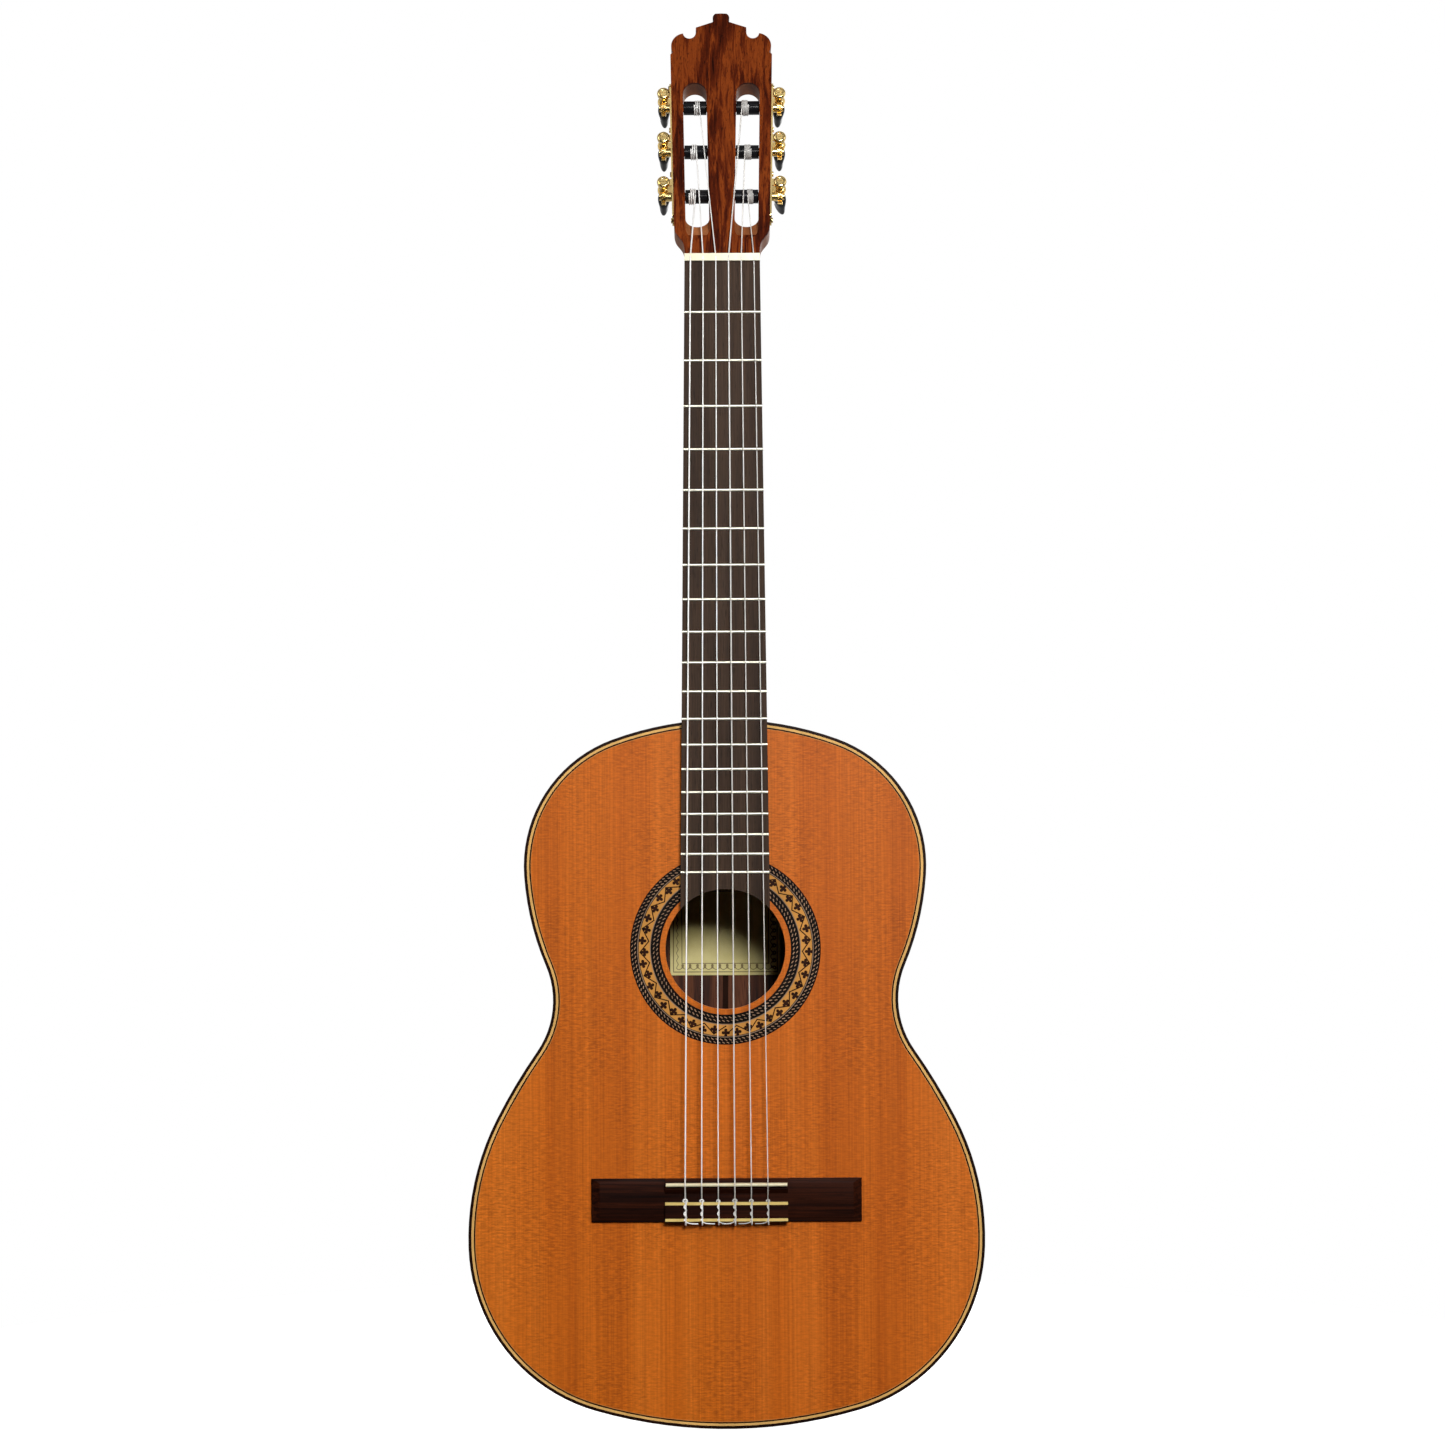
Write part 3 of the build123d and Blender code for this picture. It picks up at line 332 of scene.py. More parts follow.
def mahogany_finish():
    finish = Finish("mahogany_neck")
    bands = finish.noise(finish.place((45, 45, 2.2)), 1.0, 3.0, 0.55, 0.4)
    fibres = finish.noise(finish.place((900, 900, 26)), 1.0, 3.0, 0.6)
    pores = finish.noise(finish.place((1700, 1700, 110)), 1.0, 2.0, 0.5)
    colour = finish.ramp(bands, [(0.3, (0.17, 0.050, 0.016)), (0.5, (0.26, 0.084, 0.027)), (0.72, (0.36, 0.130, 0.045))])
    colour = finish.mix(0.5, colour, finish.grey_ramp(fibres, 0.35, 0.65, 0.7, 1.12), "MULTIPLY")
    dashes = finish.grey_ramp(pores, 0.30, 0.40, 0.35, 1.0)
    colour = finish.mix(0.7, colour, dashes, "MULTIPLY")
    finish.set("Base Color", colour)
    finish.set("Roughness", 0.42)
    finish.set("Specular IOR Level", 0.1)
    finish.bump(dashes, 0.18, 0.00006)
    return finish.material


def fingerboard_finish():
    """Oiled dark hardwood with grey-brown streaks, satin from playing."""
    finish = Finish("dark_fingerboard")
    bands = finish.noise(finish.place((80, 80, 3.0)), 1.0, 4.0, 0.6, 0.5)
    fibres = finish.noise(finish.place((1300, 1300, 34)), 1.0, 3.0, 0.65)
    pores = finish.noise(finish.place((1900, 1900, 120)), 1.0, 2.0, 0.5)
    colour = finish.ramp(bands, [(0.3, (0.022, 0.011, 0.006)), (0.5, (0.039, 0.021, 0.012)), (0.72, (0.064, 0.036, 0.021))])
    colour = finish.mix(0.7, colour, finish.grey_ramp(fibres, 0.3, 0.7, 0.55, 1.35), "MULTIPLY")
    dashes = finish.grey_ramp(pores, 0.28, 0.40, 0.25, 1.0)
    colour = finish.mix(0.8, colour, dashes, "MULTIPLY")
    finish.set("Base Color", colour)
    finish.set("Roughness", finish.grey_ramp(fibres, 0.3, 0.7, 0.52, 0.66))
    finish.set("Specular IOR Level", 0.11)
    finish.bump(dashes, 0.22, 0.00007)
    return finish.material


def line_wood_finish(name, colour, spread=0.12, roughness=0.35):
    """Thin strip of one wood, with fibres along its length."""
    finish = Finish(name)
    fibres = finish.noise(finish.place((700, 700, 700)), 1.0, 3.0, 0.6)
    cloud = finish.noise(finish.place((60, 60, 20)), 1.0, 2.0, 0.5)
    low = tuple(c * (1 - spread) for c in colour)
    high = tuple(min(1.0, c * (1 + spread)) for c in colour)
    tone = finish.ramp(cloud, [(0.3, low), (0.7, high)])
    tone = finish.mix(0.4, tone, finish.grey_ramp(fibres, 0.3, 0.7, 0.8, 1.1), "MULTIPLY")
    finish.set("Base Color", tone)
    finish.set("Roughness", roughness)
    finish.set("Specular IOR Level", 0.06)
    finish.bump(fibres, 0.05, 0.00005)
    return finish.material


def metal_finish(name, colour, roughness, wear=0.12, scratch=0.06):
    """Plated metal with faint handling marks."""
    finish = Finish(name)
    smudges = finish.noise(finish.place((160, 160, 160)), 1.0, 3.0, 0.6)
    scratches = finish.noise(finish.place((2600, 2600, 500)), 1.0, 2.0, 0.6)
    worn = tuple(c * 0.72 for c in colour)
    finish.set("Base Color", finish.mix(finish.grey_ramp(smudges, 0.55, 0.75), colour, worn))
    finish.set("Metallic", 1.0)
    finish.set("Roughness", finish.grey_ramp(smudges, 0.3, 0.8, roughness, roughness + wear))
    finish.bump(scratches, scratch, 0.00003)
    return finish.material


def bone_finish():
    finish = Finish("polished_bone")
    cloud = finish.noise(finish.place((140, 90, 60)), 1.0, 3.0, 0.6)
    flecks = finish.noise(finish.place((1600, 1600, 260)), 1.0, 2.0, 0.5)
    colour = finish.ramp(cloud, [(0.3, (0.62, 0.55, 0.34)), (0.7, (0.72, 0.66, 0.45))])
    colour = finish.mix(0.35, colour, finish.grey_ramp(flecks, 0.32, 0.44, 0.7, 1.0), "MULTIPLY")
    parts = finish.node("SeparateXYZ")
    finish.join(finish.place(), parts.inputs[0])
    strips_start = (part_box("saddle")[0].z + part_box("tie_block_trim")[1].z) / 2
    on_strips = finish.math("LESS_THAN", parts.outputs[2], strips_start)
    colour = finish.mix(on_strips, colour, finish.mix(1.0, colour, (1.0, 0.82, 0.42), "MULTIPLY"))
    finish.set("Base Color", colour)
    finish.set("Roughness", 0.28)
    finish.set("Subsurface Weight", 0.12)
    finish.shader.inputs["Subsurface Radius"].default_value = (0.002, 0.0015, 0.001)
    finish.bump(cloud, 0.05, 0.0001)
    return finish.material


def black_gloss_finish(name):
    """Black moulded plastic with soft moulding waves and fine dust."""
    finish = Finish(name)
    waves = finish.noise(finish.place((240, 240, 240)), 1.0, 2.0, 0.5)
    dust = finish.noise(finish.place((2400, 2400, 2400)), 1.0, 2.0, 0.6)
    finish.set("Base Color", finish.ramp(dust, [(0.4, (0.004, 0.004, 0.005)), (0.8, (0.016, 0.016, 0.018))]))
    finish.set("Roughness", finish.grey_ramp(waves, 0.3, 0.7, 0.12, 0.20))
    finish.set("Specular IOR Level", 0.22)
    finish.bump(waves, 0.08, 0.0002)
    return finish.material


def nylon_finish():
    """Clear nylon monofilament, a little cloudy."""
    finish = Finish("clear_nylon")
    cloud = finish.noise(finish.place((300, 300, 60)), 1.0, 2.0, 0.5)
    finish.set("Base Color", finish.ramp(cloud, [(0.3, (0.84, 0.81, 0.76)), (0.7, (0.94, 0.92, 0.88))]))
    finish.set("Roughness", 0.24)
    finish.set("Transmission Weight", 0.45)
    finish.set("IOR", 1.53)
    finish.bump(cloud, 0.05, 0.00005)
    return finish.material


def wound_finish():
    """Silver-plated wire wound close round a core."""
    finish = Finish("silver_winding")
    wave = finish.node("TexWave", wave_type="BANDS", bands_direction="Z", wave_profile="SIN")
    finish.join(finish.place((1, 1, 1)), wave.inputs["Vector"])
    wave.inputs["Scale"].default_value = 1250.0
    wave.inputs["Distortion"].default_value = 0.0
    cloud = finish.noise(finish.place((60, 60, 9)), 1.0, 3.0, 0.6)
    finish.set("Base Color", finish.ramp(cloud, [(0.3, (0.86, 0.85, 0.82)), (0.7, (0.97, 0.96, 0.93))]))
    finish.set("Metallic", 0.35)
    finish.set("Roughness", finish.grey_ramp(cloud, 0.3, 0.7, 0.34, 0.46))
    finish.bump(wave.outputs["Fac"], 0.35, 0.00006)
    return finish.material


def inner_wood_finish():
    finish = Finish("raw_inner_wood")
    lines = finish.noise(finish.place((420, 420, 420)), 1.0, 3.0, 0.6)
    cloud = finish.noise(finish.place((30, 30, 30)), 1.0, 3.0, 0.5)
    colour = finish.ramp(cloud, [(0.3, (0.48, 0.31, 0.15)), (0.7, (0.62, 0.44, 0.24))])
    colour = finish.mix(0.5, colour, finish.grey_ramp(lines, 0.3, 0.7, 0.75, 1.08), "MULTIPLY")
    finish.set("Base Color", colour)
    finish.set("Roughness", 0.7)
    finish.bump(lines, 0.15, 0.0001)
    return finish.material


def label_finish():
    """Old cream paper printed with a double border and plain scrollwork."""
    finish = Finish("label_paper")
    parts = finish.node("SeparateXYZ")
    finish.join(finish.place(), parts.inputs[0])
    low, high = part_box("label")
    across = finish.math("ABSOLUTE", parts.outputs[0])
    from_middle = finish.math("ABSOLUTE", finish.math("SUBTRACT", parts.outputs[2], (low.z + high.z) / 2))
    side_gap = finish.math("SUBTRACT", high.x, across)
    end_gap = finish.math("SUBTRACT", (high.z - low.z) / 2, from_middle)
    edge = finish.math("MINIMUM", side_gap, end_gap)
    ink = None
    for place, half in ((2.4 * MM, 0.35 * MM), (8.6 * MM, 0.30 * MM)):
        off = finish.math("ABSOLUTE", finish.math("SUBTRACT", edge, place))
        line = finish.math("LESS_THAN", off, half)
        ink = line if ink is None else finish.math("MAXIMUM", ink, line)
    wave_x = finish.math("SINE", finish.math("MULTIPLY", parts.outputs[0], 1150.0))
    wave_z = finish.math("SINE", finish.math("MULTIPLY", parts.outputs[2], 1150.0))
    wave = finish.math("ADD", finish.math("MULTIPLY", wave_x, 1.1 * MM), finish.math("MULTIPLY", wave_z, 1.1 * MM))
    scroll = finish.math("ABSOLUTE", finish.math("SUBTRACT", finish.math("SUBTRACT", edge, 5.5 * MM), wave))
    ink = finish.math("MAXIMUM", ink, finish.math("LESS_THAN", scroll, 0.55 * MM))
    fibres = finish.noise(finish.place((1500, 1500, 1500)), 1.0, 4.0, 0.7)
    cloud = finish.noise(finish.place((35, 35, 35)), 1.0, 4.0, 0.6)
    colour = finish.ramp(cloud, [(0.3, (0.62, 0.52, 0.19)), (0.7, (0.76, 0.67, 0.31))])
    colour = finish.mix(0.35, colour, finish.grey_ramp(fibres, 0.3, 0.7, 0.8, 1.08), "MULTIPLY")
    colour = finish.mix(finish.math("MULTIPLY", ink, 0.8), colour, (0.12, 0.07, 0.03))
    finish.set("Base Color", colour)
    finish.set("Roughness", 0.85)
    finish.bump(fibres, 0.12, 0.00005)
    return finish.material


# ---- modelling helpers


def select_only(*pieces):
    bpy.ops.object.select_all(action="DESELECT")
    for piece in pieces:
        piece.select_set(True)
    bpy.context.view_layer.objects.active = pieces[0]


def set_place(piece):
    """Puts the piece's place, turn and size into its mesh."""
    select_only(piece)
    bpy.ops.object.transform_apply(location=True, rotation=True, scale=True)


def copy_of(piece, matrix=None):
    twin = piece.copy()
    twin.data = piece.data.copy()
    bpy.context.scene.collection.objects.link(twin)
    if matrix is not None:
        twin.data.transform(matrix)
    return twin


def joined(pieces):
    select_only(*pieces)
    if len(pieces) > 1:
        bpy.ops.object.join()
    return bpy.context.view_layer.objects.active


def repeated(pattern, matrices):
    """Copies of a small piece at each place, joined into one; the pattern itself is removed."""
    copies = [copy_of(pattern, matrix) for matrix in matrices]
    bpy.data.objects.remove(pattern)
    return joined(copies)


def smooth(piece, degrees=35.0):
    select_only(piece)
    bpy.ops.object.shade_smooth_by_angle(angle=math.radians(degrees))


def fit_out(piece, name, body, material, stands_for=()):
    """Names a finished piece, gives it its finish and its body, and hides the CAD nodes it stands for."""
    piece.name = name
    piece.data.name = name
    piece.data.materials.clear()
    piece.data.materials.append(material)
    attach(piece, body)
    if stands_for:
        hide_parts(*stands_for)
    return piece


def solid_copy(node):
    """Merged copy of a node's mesh, ready for its edges to be worked."""
    source = frame["nodes"][node]
    piece = bpy.data.objects.new(node + "_work", source.data.copy())
    bpy.context.scene.collection.objects.link(piece)
    select_only(piece)
    bpy.ops.object.mode_set(mode="EDIT")
    bpy.ops.mesh.select_all(action="SELECT")
    bpy.ops.mesh.remove_doubles(threshold=0.002 * MM)
    bpy.ops.mesh.customdata_custom_splitnormals_clear()
    bpy.ops.mesh.dissolve_limited(angle_limit=math.radians(0.6))
    bpy.ops.object.mode_set(mode="OBJECT")
    return piece


def rounded_copy(node, width, segments=2, angle=32.0):
    """Copy of a node with all its sharp edges eased."""
    piece = solid_copy(node)
    bevel = piece.modifiers.new("eased_edges", "BEVEL")
    bevel.width = width
    bevel.segments = segments
    bevel.limit_method = "ANGLE"
    bevel.angle_limit = math.radians(angle)
    bevel.use_clamp_overlap = True
    select_only(piece)
    bpy.ops.object.modifier_apply(modifier=bevel.name)
    smooth(piece, 12)
    return piece


def wire(points, radius, cyclic=False, resolution=3, order=4):
    """Round strand that follows the points smoothly, made a mesh."""
    curve = bpy.data.curves.new("strand", "CURVE")
    curve.dimensions = "3D"
    curve.bevel_depth = radius
    curve.bevel_resolution = resolution
    curve.resolution_u = 4
    curve.use_fill_caps = not cyclic
    spline = curve.splines.new("NURBS")
    spline.points.add(len(points) - 1)
    for target, point in zip(spline.points, points):
        target.co = (*point, 1.0)
    spline.order_u = order
    spline.use_cyclic_u = cyclic
    spline.use_endpoint_u = not cyclic
    piece = bpy.data.objects.new("strand", curve)
    bpy.context.scene.collection.objects.link(piece)
    select_only(piece)
    bpy.ops.object.convert(target="MESH")
    return bpy.context.view_layer.objects.active


# ---- rosette inlay

HOLE = Vector((0.0, 0.0, -487.2 * MM))
FLOWER_COUNT = 45
FLOWER_STEP = 2 * math.pi / FLOWER_COUNT
INNER_FLOWERS = 57.1 * MM
OUTER_FLOWERS = 58.9 * MM
INLAY_RISE = 0.03 * MM


def around_hole(angle, radius, own_turn=0.0):
    """Place on the rosette; angle 0 is straight down the centre line."""
    turn = Matrix.Rotation(angle, 4, "Y")
    out = Matrix.Translation((0, 0, -radius))
    return Matrix.Translation(HOLE) @ turn @ out @ Matrix.Rotation(own_turn, 4, "Y")


def make_chip(length, width, height):
    """Small flat block lying on the soundboard's face, its top face inset but not raised or lowered."""
    bpy.ops.object.select_all(action="DESELECT")
    bpy.ops.mesh.primitive_cube_add(size=1.0, location=(0, 0, 0), scale=(length, height, width))
    chip = bpy.context.active_object
    set_place(chip)
    bpy.ops.object.mode_set(mode="EDIT")
    bpy.ops.mesh.select_all(action="DESELECT")
    bpy.ops.object.mode_set(mode="OBJECT")
    for face in chip.data.polygons:
        face.select = face.normal.y < -0.5
    bpy.ops.object.mode_set(mode="EDIT")
    bpy.ops.mesh.select_mode(type="FACE")
    bpy.ops.mesh.inset(thickness=min(length, width) * 0.12)
    bpy.ops.object.mode_set(mode="OBJECT")
    return chip


def make_flower():
    """Four round petals cut as one outline."""
    petal_reach = 1.8 * MM
    petal_radius = 1.15 * MM
    bpy.ops.object.select_all(action="DESELECT")
    bpy.ops.mesh.primitive_circle_add(vertices=40, radius=1.0, fill_type="NGON", rotation=(math.radians(90), 0, 0))
    flower = bpy.context.active_object
    set_place(flower)
    for vertex in flower.data.vertices:
        angle = math.atan2(vertex.co.z, vertex.co.x)
        quarter = math.pi / 2
        off = (angle + quarter / 2) % quarter - quarter / 2
        reach = petal_reach * math.cos(off)
        reach += math.sqrt(max(0.0, petal_radius ** 2 - (petal_reach * math.sin(off)) ** 2))
        vertex.co = Vector((math.cos(angle), 0.0, math.sin(angle))) * reach
    bpy.ops.object.mode_set(mode="EDIT")
    bpy.ops.mesh.select_all(action="SELECT")
    bpy.ops.mesh.extrude_region_move(TRANSFORM_OT_translate={"value": (0, -2 * INLAY_RISE, 0)})
    bpy.ops.mesh.select_all(action="SELECT")
    bpy.ops.mesh.normals_make_consistent(inside=False)
    bpy.ops.object.mode_set(mode="OBJECT")
    flower.data.transform(Matrix.Translation((0, INLAY_RISE, 0)))
    return flower


def is_outer(number):
    return number % 2 == 0


def make_rosette(dark_wood, chip_wood, line_wood):
    places = []
    for number in range(FLOWER_COUNT):
        radius = OUTER_FLOWERS if is_outer(number) else INNER_FLOWERS
        places.append(around_hole(number * FLOWER_STEP, radius))
    flowers = repeated(make_flower(), places)
    fit_out(flowers, "rosette_flowers", "root", dark_wood)

    apexes = []
    for number in range(FLOWER_COUNT + 1):
        radius = 54.3 * MM if is_outer(number) else 60.3 * MM
        apexes.append(around_hole(number * FLOWER_STEP, radius).to_translation())
    segments = []
    for start, end in zip(apexes, apexes[1:]):
        run = end - start
        middle = (start + end) / 2
        turn = Matrix.Rotation(-math.atan2(run.z, run.x), 4, "Y")
        segments.append(Matrix.Translation(middle) @ turn @ Matrix.Diagonal((run.length, 1, 1, 1)))
    line = repeated(make_chip(1.0, 0.8 * MM, 2 * INLAY_RISE), segments)
    dots = repeated(make_chip(0.9 * MM, 0.8 * MM, 2 * INLAY_RISE), [Matrix.Translation(p) for p in apexes[:-1]])
    zigzag = joined([line, dots])
    fit_out(zigzag, "rosette_zigzag", "root", dark_wood)

    rows = [(48.2, 2.1, 0.62, 0.5, 0.0), (50.6, 1.9, 0.55, 0.5, 0.5), (63.8, 2.1, 0.62, 0.5, 0.0), (65.9, 1.8, 0.52, 0.5, 0.5)]
    chips = []
    for radius, length, width, slant, offset in rows:
        count = round(2 * math.pi * radius / 3.15)
        step = 2 * math.pi / count
        spots = [around_hole((i + offset) * step, radius * MM, slant) for i in range(count)]
        chips.append(repeated(make_chip(length * MM, width * MM, 2 * INLAY_RISE), spots))
    rope = joined(chips)
    fit_out(rope, "rosette_rope_chips", "root", chip_wood)

    borders = []
    for radius, half in ((53.0, 0.28), (61.9, 0.28)):
        bpy.ops.object.select_all(action="DESELECT")
        bpy.ops.mesh.primitive_circle_add(
            vertices=180, radius=(radius + half) * MM, fill_type="NGON", location=HOLE,
            rotation=(math.radians(90), 0, 0),
        )
        ring = bpy.context.active_object
        set_place(ring)
        bpy.ops.object.mode_set(mode="EDIT")
        bpy.ops.mesh.select_all(action="SELECT")
        bpy.ops.mesh.inset(thickness=2 * half * MM)
        bpy.ops.mesh.delete(type="FACE")
        bpy.ops.mesh.select_all(action="SELECT")
        bpy.ops.mesh.extrude_region_move(TRANSFORM_OT_translate={"value": (0, -INLAY_RISE, 0)})
        bpy.ops.mesh.select_all(action="SELECT")
        bpy.ops.mesh.normals_make_consistent(inside=False)
        bpy.ops.object.mode_set(mode="OBJECT")
        borders.append(ring)
    fit_out(joined(borders), "rosette_border_lines", "root", line_wood)


def make_purfling(yellow, dark, pale):
    """The three lines of wood inside the binding, parted from each other."""
    lines = solid_copy("top_purfling")
    select_only(lines)
    bpy.ops.mesh.separate(type="LOOSE")
    rings = sorted(bpy.context.selected_objects, key=lambda ring: -ring.dimensions.x)
    woods = (yellow, dark, pale)
    parts = {}
    for ring in rings:
        widest = rings[0].dimensions.x
        inset = (widest - ring.dimensions.x) / 2
        line = 0 if inset < 1.0 * MM else 1 if inset < 2.4 * MM else 2
        parts.setdefault(line, []).append(ring)
    for line, name in ((0, "purfling_yellow"), (1, "purfling_dark"), (2, "purfling_pale")):
        if line in parts:
            fit_out(joined(parts[line]), name, "root", woods[line], ["top_purfling"])


# ---- strings: turns on the rollers and ties on the bridge

HEAD_ORIGIN = Vector((0.0, -2.0 * MM, 5.2 * MM))
FRONT_FACE_OF_LUG = -2.6 * MM
ROLLER_TURNS = {1: 5, 2: 5, 3: 4, 4: 3, 5: 3, 6: 3}
TURN_SPACING = {1: 2.15, 2: 2.15, 3: 2.15, 4: 3.2, 5: 2.9, 6: 2.7}
CORE_RADIUS = 5.0 * MM


def head_direction(x, u, h):
    return Vector((x, u * math.sin(HEAD_ANGLE) - h * math.cos(HEAD_ANGLE),
                   u * math.cos(HEAD_ANGLE) + h * math.sin(HEAD_ANGLE)))


def string_node(number):
    return (TREBLE_STRINGS + BASS_STRINGS)[number - 1]


def make_roller_turns(number, material):
    """The string's turns round its roller, side by side from where it leaves it."""
    radius = STRING_RADII[number - 1]
    middle = Vector(JOINTS["roller_%d_turn" % number]["pos_m"])
    side = 1 if number <= 3 else -1
    top_point = upper_end(string_node(number))
    reach = CORE_RADIUS + radius
    step = radius * TURN_SPACING[number]
    points = []
    turns = ROLLER_TURNS[number]
    per_turn = 14
    for i in range(turns * per_turn + 1):
        angle = 2 * math.pi * i / per_turn
        x = top_point.x + side * step * i / per_turn
        u = reach * math.sin(angle)
        h = reach * math.cos(angle)
        points.append(Vector((x, middle.y, middle.z)) + head_direction(0, u, h))
    piece = wire(points, radius, resolution=3)
    smooth(piece, 60)
    fit_out(piece, "string_turns_%d" % number, "roller_body_%d" % number, material)


def upper_end(node):
    """Middle of the string's upper end, on its roller."""
    vertices = frame["nodes"][node].data.vertices
    top = max(vertex.co.z for vertex in vertices)
    near = [vertex.co for vertex in vertices if vertex.co.z > top - 0.3 * MM]
    return sum(near, Vector()) / len(near)


def make_tie(number, material):
    """Knot of one string: a loop at the block's front, one strand twisted over it and a tail behind."""
    radius = STRING_RADII[number - 1]
    x = 58.0 * MM * (0.5 - (number - 1) / 5)
    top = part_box("tie_block_trim")[0].y - radius
    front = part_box("tie_block_trim")[1].z
    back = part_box("tie_block_trim")[0].z
    pieces = []
    twist_radius = radius * 1.5
    turns = 2.5
    count = 26
    for phase in (0.0,):
        points = []
        for i in range(count + 1):
            share = i / count
            angle = phase + 2 * math.pi * turns * share
            points.append(Vector((
                x + twist_radius * math.cos(angle),
                top - radius + twist_radius * math.sin(angle),
                front - 0.6 * MM + share * (back - front + 1.2 * MM),
            )))
        pieces.append(wire(points, radius, resolution=3))
    ring_radius = radius + 0.85 * MM
    ring = []
    for i in range(16):
        angle = 2 * math.pi * i / 16
        ring.append(Vector((
            x + ring_radius * math.cos(angle),
            top + 1.7 * MM + 0.9 * MM * math.sin(angle),
            front + radius * 1.6 + ring_radius * 0.8 * math.sin(angle),
        )))
    pieces.append(wire(ring, radius, cyclic=True, resolution=3))
    reach = 9.0 * MM
    lean = -1 if number <= 3 else 1
    tail = [
        Vector((x, top - radius * 0.5, back + 0.4 * MM)),
        Vector((x + lean * 1.0 * MM, top - radius * 0.3, back - 0.9 * MM)),
        Vector((x + lean * 0.4 * reach, top + 1.2 * MM, back - 1.9 * MM)),
        Vector((x + lean * reach, top + 1.8 * MM, back - 1.7 * MM)),
    ]
    pieces.append(wire(tail, radius * 0.9, resolution=3))
    knot = joined(pieces)
    smooth(knot, 60)
    fit_out(knot, "string_tie_%d" % number, "root", material)


# ---- tuning machines


def make_lug_cap():
    """Low dome with a sunk middle, turned at the origin with its axis up."""
    steps = [(0.35, 0.55), (0.5, 0.35), (0.7, 0.22), (0.55, -0.15), (0.25, -0.5)]
    bpy.ops.object.select_all(action="DESELECT")
    bpy.ops.mesh.primitive_cylinder_add(vertices=48, radius=4.55 * MM, depth=0.5 * MM)
    cap = bpy.context.active_object
    set_place(cap)
    for face in cap.data.polygons:
        face.select = face.normal.z > 0.9
    for edge in cap.data.edges:
        edge.select = False
    for vertex in cap.data.vertices:
        vertex.select = False
    for face in cap.data.polygons:
        face.select = face.normal.z > 0.9
    bpy.ops.object.mode_set(mode="EDIT")
    bpy.ops.mesh.select_mode(type="FACE")
    for inward, up in steps:
        bpy.ops.mesh.inset(thickness=inward * MM)
        bpy.ops.transform.translate(value=(0, 0, up * MM))
    bpy.ops.object.mode_set(mode="OBJECT")
    smooth(cap, 40)
    return cap


def cut_slot(cap):
    """Screwdriver slot straight across the dome."""
    bpy.ops.object.select_all(action="DESELECT")
    bpy.ops.mesh.primitive_cube_add(size=1.0, location=(0, 0, 1.2 * MM), scale=(0.9 * MM, 7.0 * MM, 1.5 * MM))
    cutter = bpy.context.active_object
    set_place(cutter)
    slot = cap.modifiers.new("slot", "BOOLEAN")
    slot.operation = "DIFFERENCE"
    slot.object = cutter
    select_only(cap)
    bpy.ops.object.modifier_apply(modifier=slot.name)
    bpy.data.objects.remove(cutter)


SLOT_ANGLES = {1: 35, 2: 50, 3: 140, 4: 145, 5: 60, 6: 120}


def make_lug_caps(gold):
    """A cap on the front lug of each worm."""
    pattern = make_lug_cap()
    cut_slot(pattern)
    lean = Matrix.Rotation(math.pi / 2 - HEAD_ANGLE, 4, "X")
    spots = []
    for number in range(1, 7):
        joint = Vector(JOINTS["button_%d_turn" % number]["pos_m"])
        axis = head_direction(0, 0, 1)
        front = joint + axis * (FRONT_FACE_OF_LUG - (joint - HEAD_ORIGIN).dot(axis))
        slot_turn = Matrix.Rotation(math.radians(SLOT_ANGLES[number]), 4, "Z")
        spots.append(Matrix.Translation(front + axis * 0.25 * MM) @ lean @ slot_turn)
    caps = repeated(pattern, spots)
    smooth(caps, 40)
    fit_out(caps, "lug_caps", "root", gold)


# ---- making the guitar


def paint(material, *nodes):
    for node in nodes:
        data = frame["nodes"][node]
        if not data.material_slots:
            data.data.materials.append(material)
        for slot in data.material_slots:
            slot.material = material


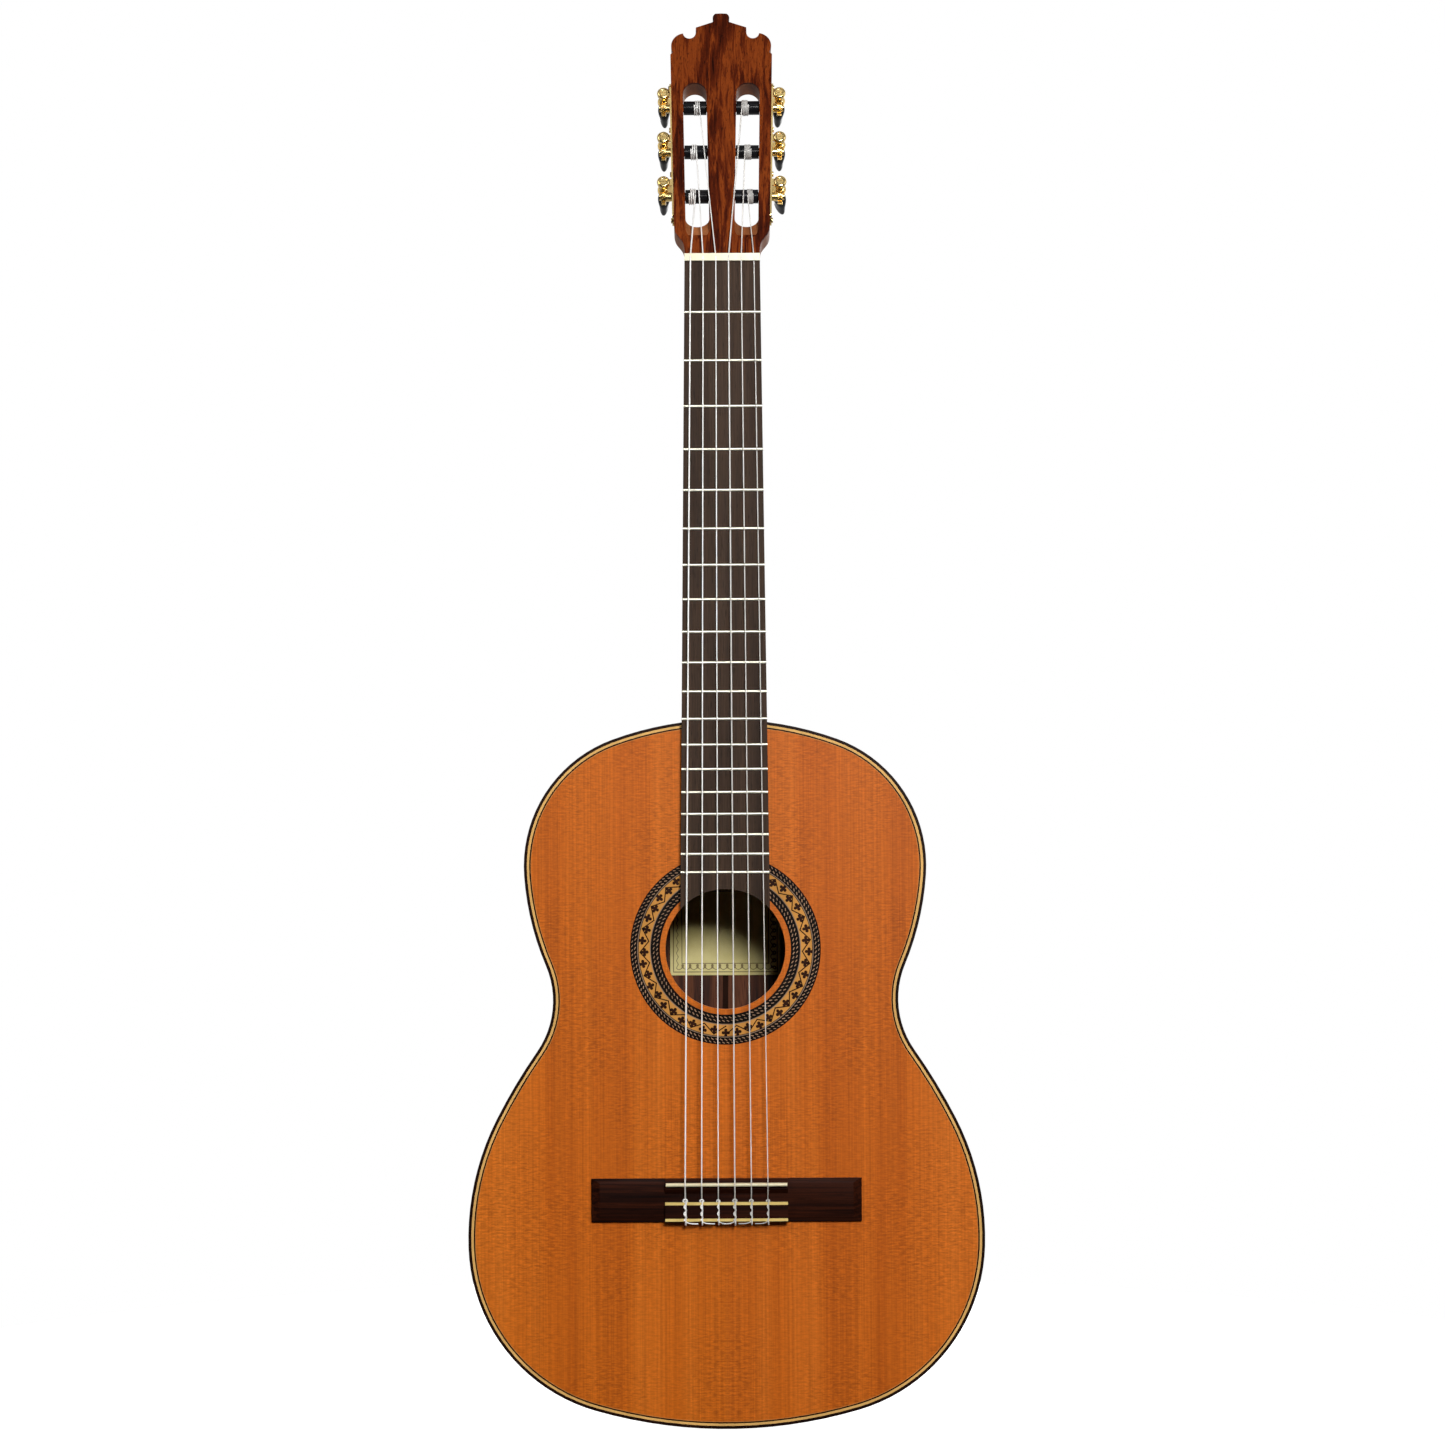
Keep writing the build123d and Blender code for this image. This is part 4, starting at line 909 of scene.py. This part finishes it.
def make_guitar():
    cedar = cedar_finish()
    body_tones = ((0.010, 0.003, 0.002), (0.055, 0.014, 0.005), (0.125, 0.037, 0.012))
    back_wood = rosewood_finish("rosewood_back", *body_tones)
    lacquer(back_wood, 0.12, 0.35)
    side_wood = rosewood_finish("rosewood_sides", *body_tones, runs="round")
    lacquer(side_wood, 0.12, 0.35)
    head_wood = rosewood_finish(
        "rosewood_veneer", (0.012, 0.0012, 0.0004), (0.075, 0.0100, 0.0015), (0.19, 0.036, 0.0050),
        turn=HEAD_ANGLE, along=22.0, streak_scale=230.0, pore_strength=0.8, waviness=1.6,
    )
    head_wood.set("Specular IOR Level", 0.04)
    bridge_wood = rosewood_finish(
        "rosewood_bridge", (0.0040, 0.0010, 0.0006), (0.014, 0.0030, 0.0012), (0.030, 0.0065, 0.0022),
        runs="sideways", along=7.0, streak_scale=420.0, pore_strength=0.5,
    )
    bridge_wood.set("Specular IOR Level", 0.05)
    lacquer(bridge_wood, 0.06, 0.12)
    binding = line_wood_finish("dark_binding", (0.012, 0.004, 0.002), 0.4)
    yellow = line_wood_finish("yellow_line", (0.66, 0.38, 0.12))
    dark_line = line_wood_finish("dark_line", (0.016, 0.005, 0.002), 0.3)
    pale_line = line_wood_finish("pale_line", (0.52, 0.20, 0.05))
    mosaic = line_wood_finish("mosaic_ground", (0.52, 0.235, 0.052))
    mosaic_dark = line_wood_finish("mosaic_dark", (0.022, 0.007, 0.003), 0.35)
    rope_ground = line_wood_finish("rope_ground", (0.004, 0.003, 0.002), 0.3)
    rope_chip = line_wood_finish("rope_chip", (0.34, 0.20, 0.12), 0.3)
    grey_line = line_wood_finish("grey_line", (0.24, 0.16, 0.11), 0.2)
    mahogany = mahogany_finish()
    inner_wood = inner_wood_finish()
    bone = bone_finish()
    gold = metal_finish("gold_plate", (0.90, 0.66, 0.27), 0.16)
    fret_metal = metal_finish("nickel_silver", (0.86, 0.84, 0.70), 0.40, 0.06, 0.02)
    black = black_gloss_finish("black_plastic")
    nylon = nylon_finish()
    winding = wound_finish()

    paint(cedar, "soundboard")
    paint(mosaic, "rosette_mosaic")
    paint(rope_ground, "rosette_rope_bands")
    paint(back_wood.material, "back_bass_half", "back_treble_half")
    paint(side_wood.material, "side_bass", "side_treble")
    paint(dark_line, "back_centre_strip", "end_graft")
    paint(inner_wood, "linings", "soundboard_braces", "back_braces")
    paint(mahogany, "tail_block", "neck", "headstock")
    paint(binding, "top_binding", "back_binding", "heel_cap")
    paint(yellow, "top_purfling")
    paint(label_finish(), "label")
    paint(head_wood.material, "head_veneer")
    paint(fingerboard_finish(), "fingerboard")
    paint(fret_metal, "frets")
    paint(bone, "nut", "saddle", "tie_block_trim")
    paint(bridge_wood.material, "bridge")
    paint(gold, "tuner_plate_bass", "tuner_plate_treble", "tuner_screws")
    for number in range(1, 7):
        paint(black, "roller_%d" % number, "button_%d" % number)
        paint(gold, "gear_%d" % number, "worm_shaft_%d" % number)
    paint(nylon, *TREBLE_STRINGS)
    paint(winding, *BASS_STRINGS)

    make_purfling(yellow, dark_line, pale_line)
    eased = rounded_copy("bridge", 0.45 * MM)
    fit_out(eased, "bridge_eased", "root", bridge_wood.material, ["bridge"])
    make_rosette(mosaic_dark, rope_chip, grey_line)
    make_lug_caps(gold)
    for number in range(1, 7):
        material, slot = (nylon, "nylon") if number <= 3 else (winding, "wound_string")
        make_roller_turns(number, material)
        make_tie(number, material)


make_camera()
make_studio()
make_floor()
make_guitar()
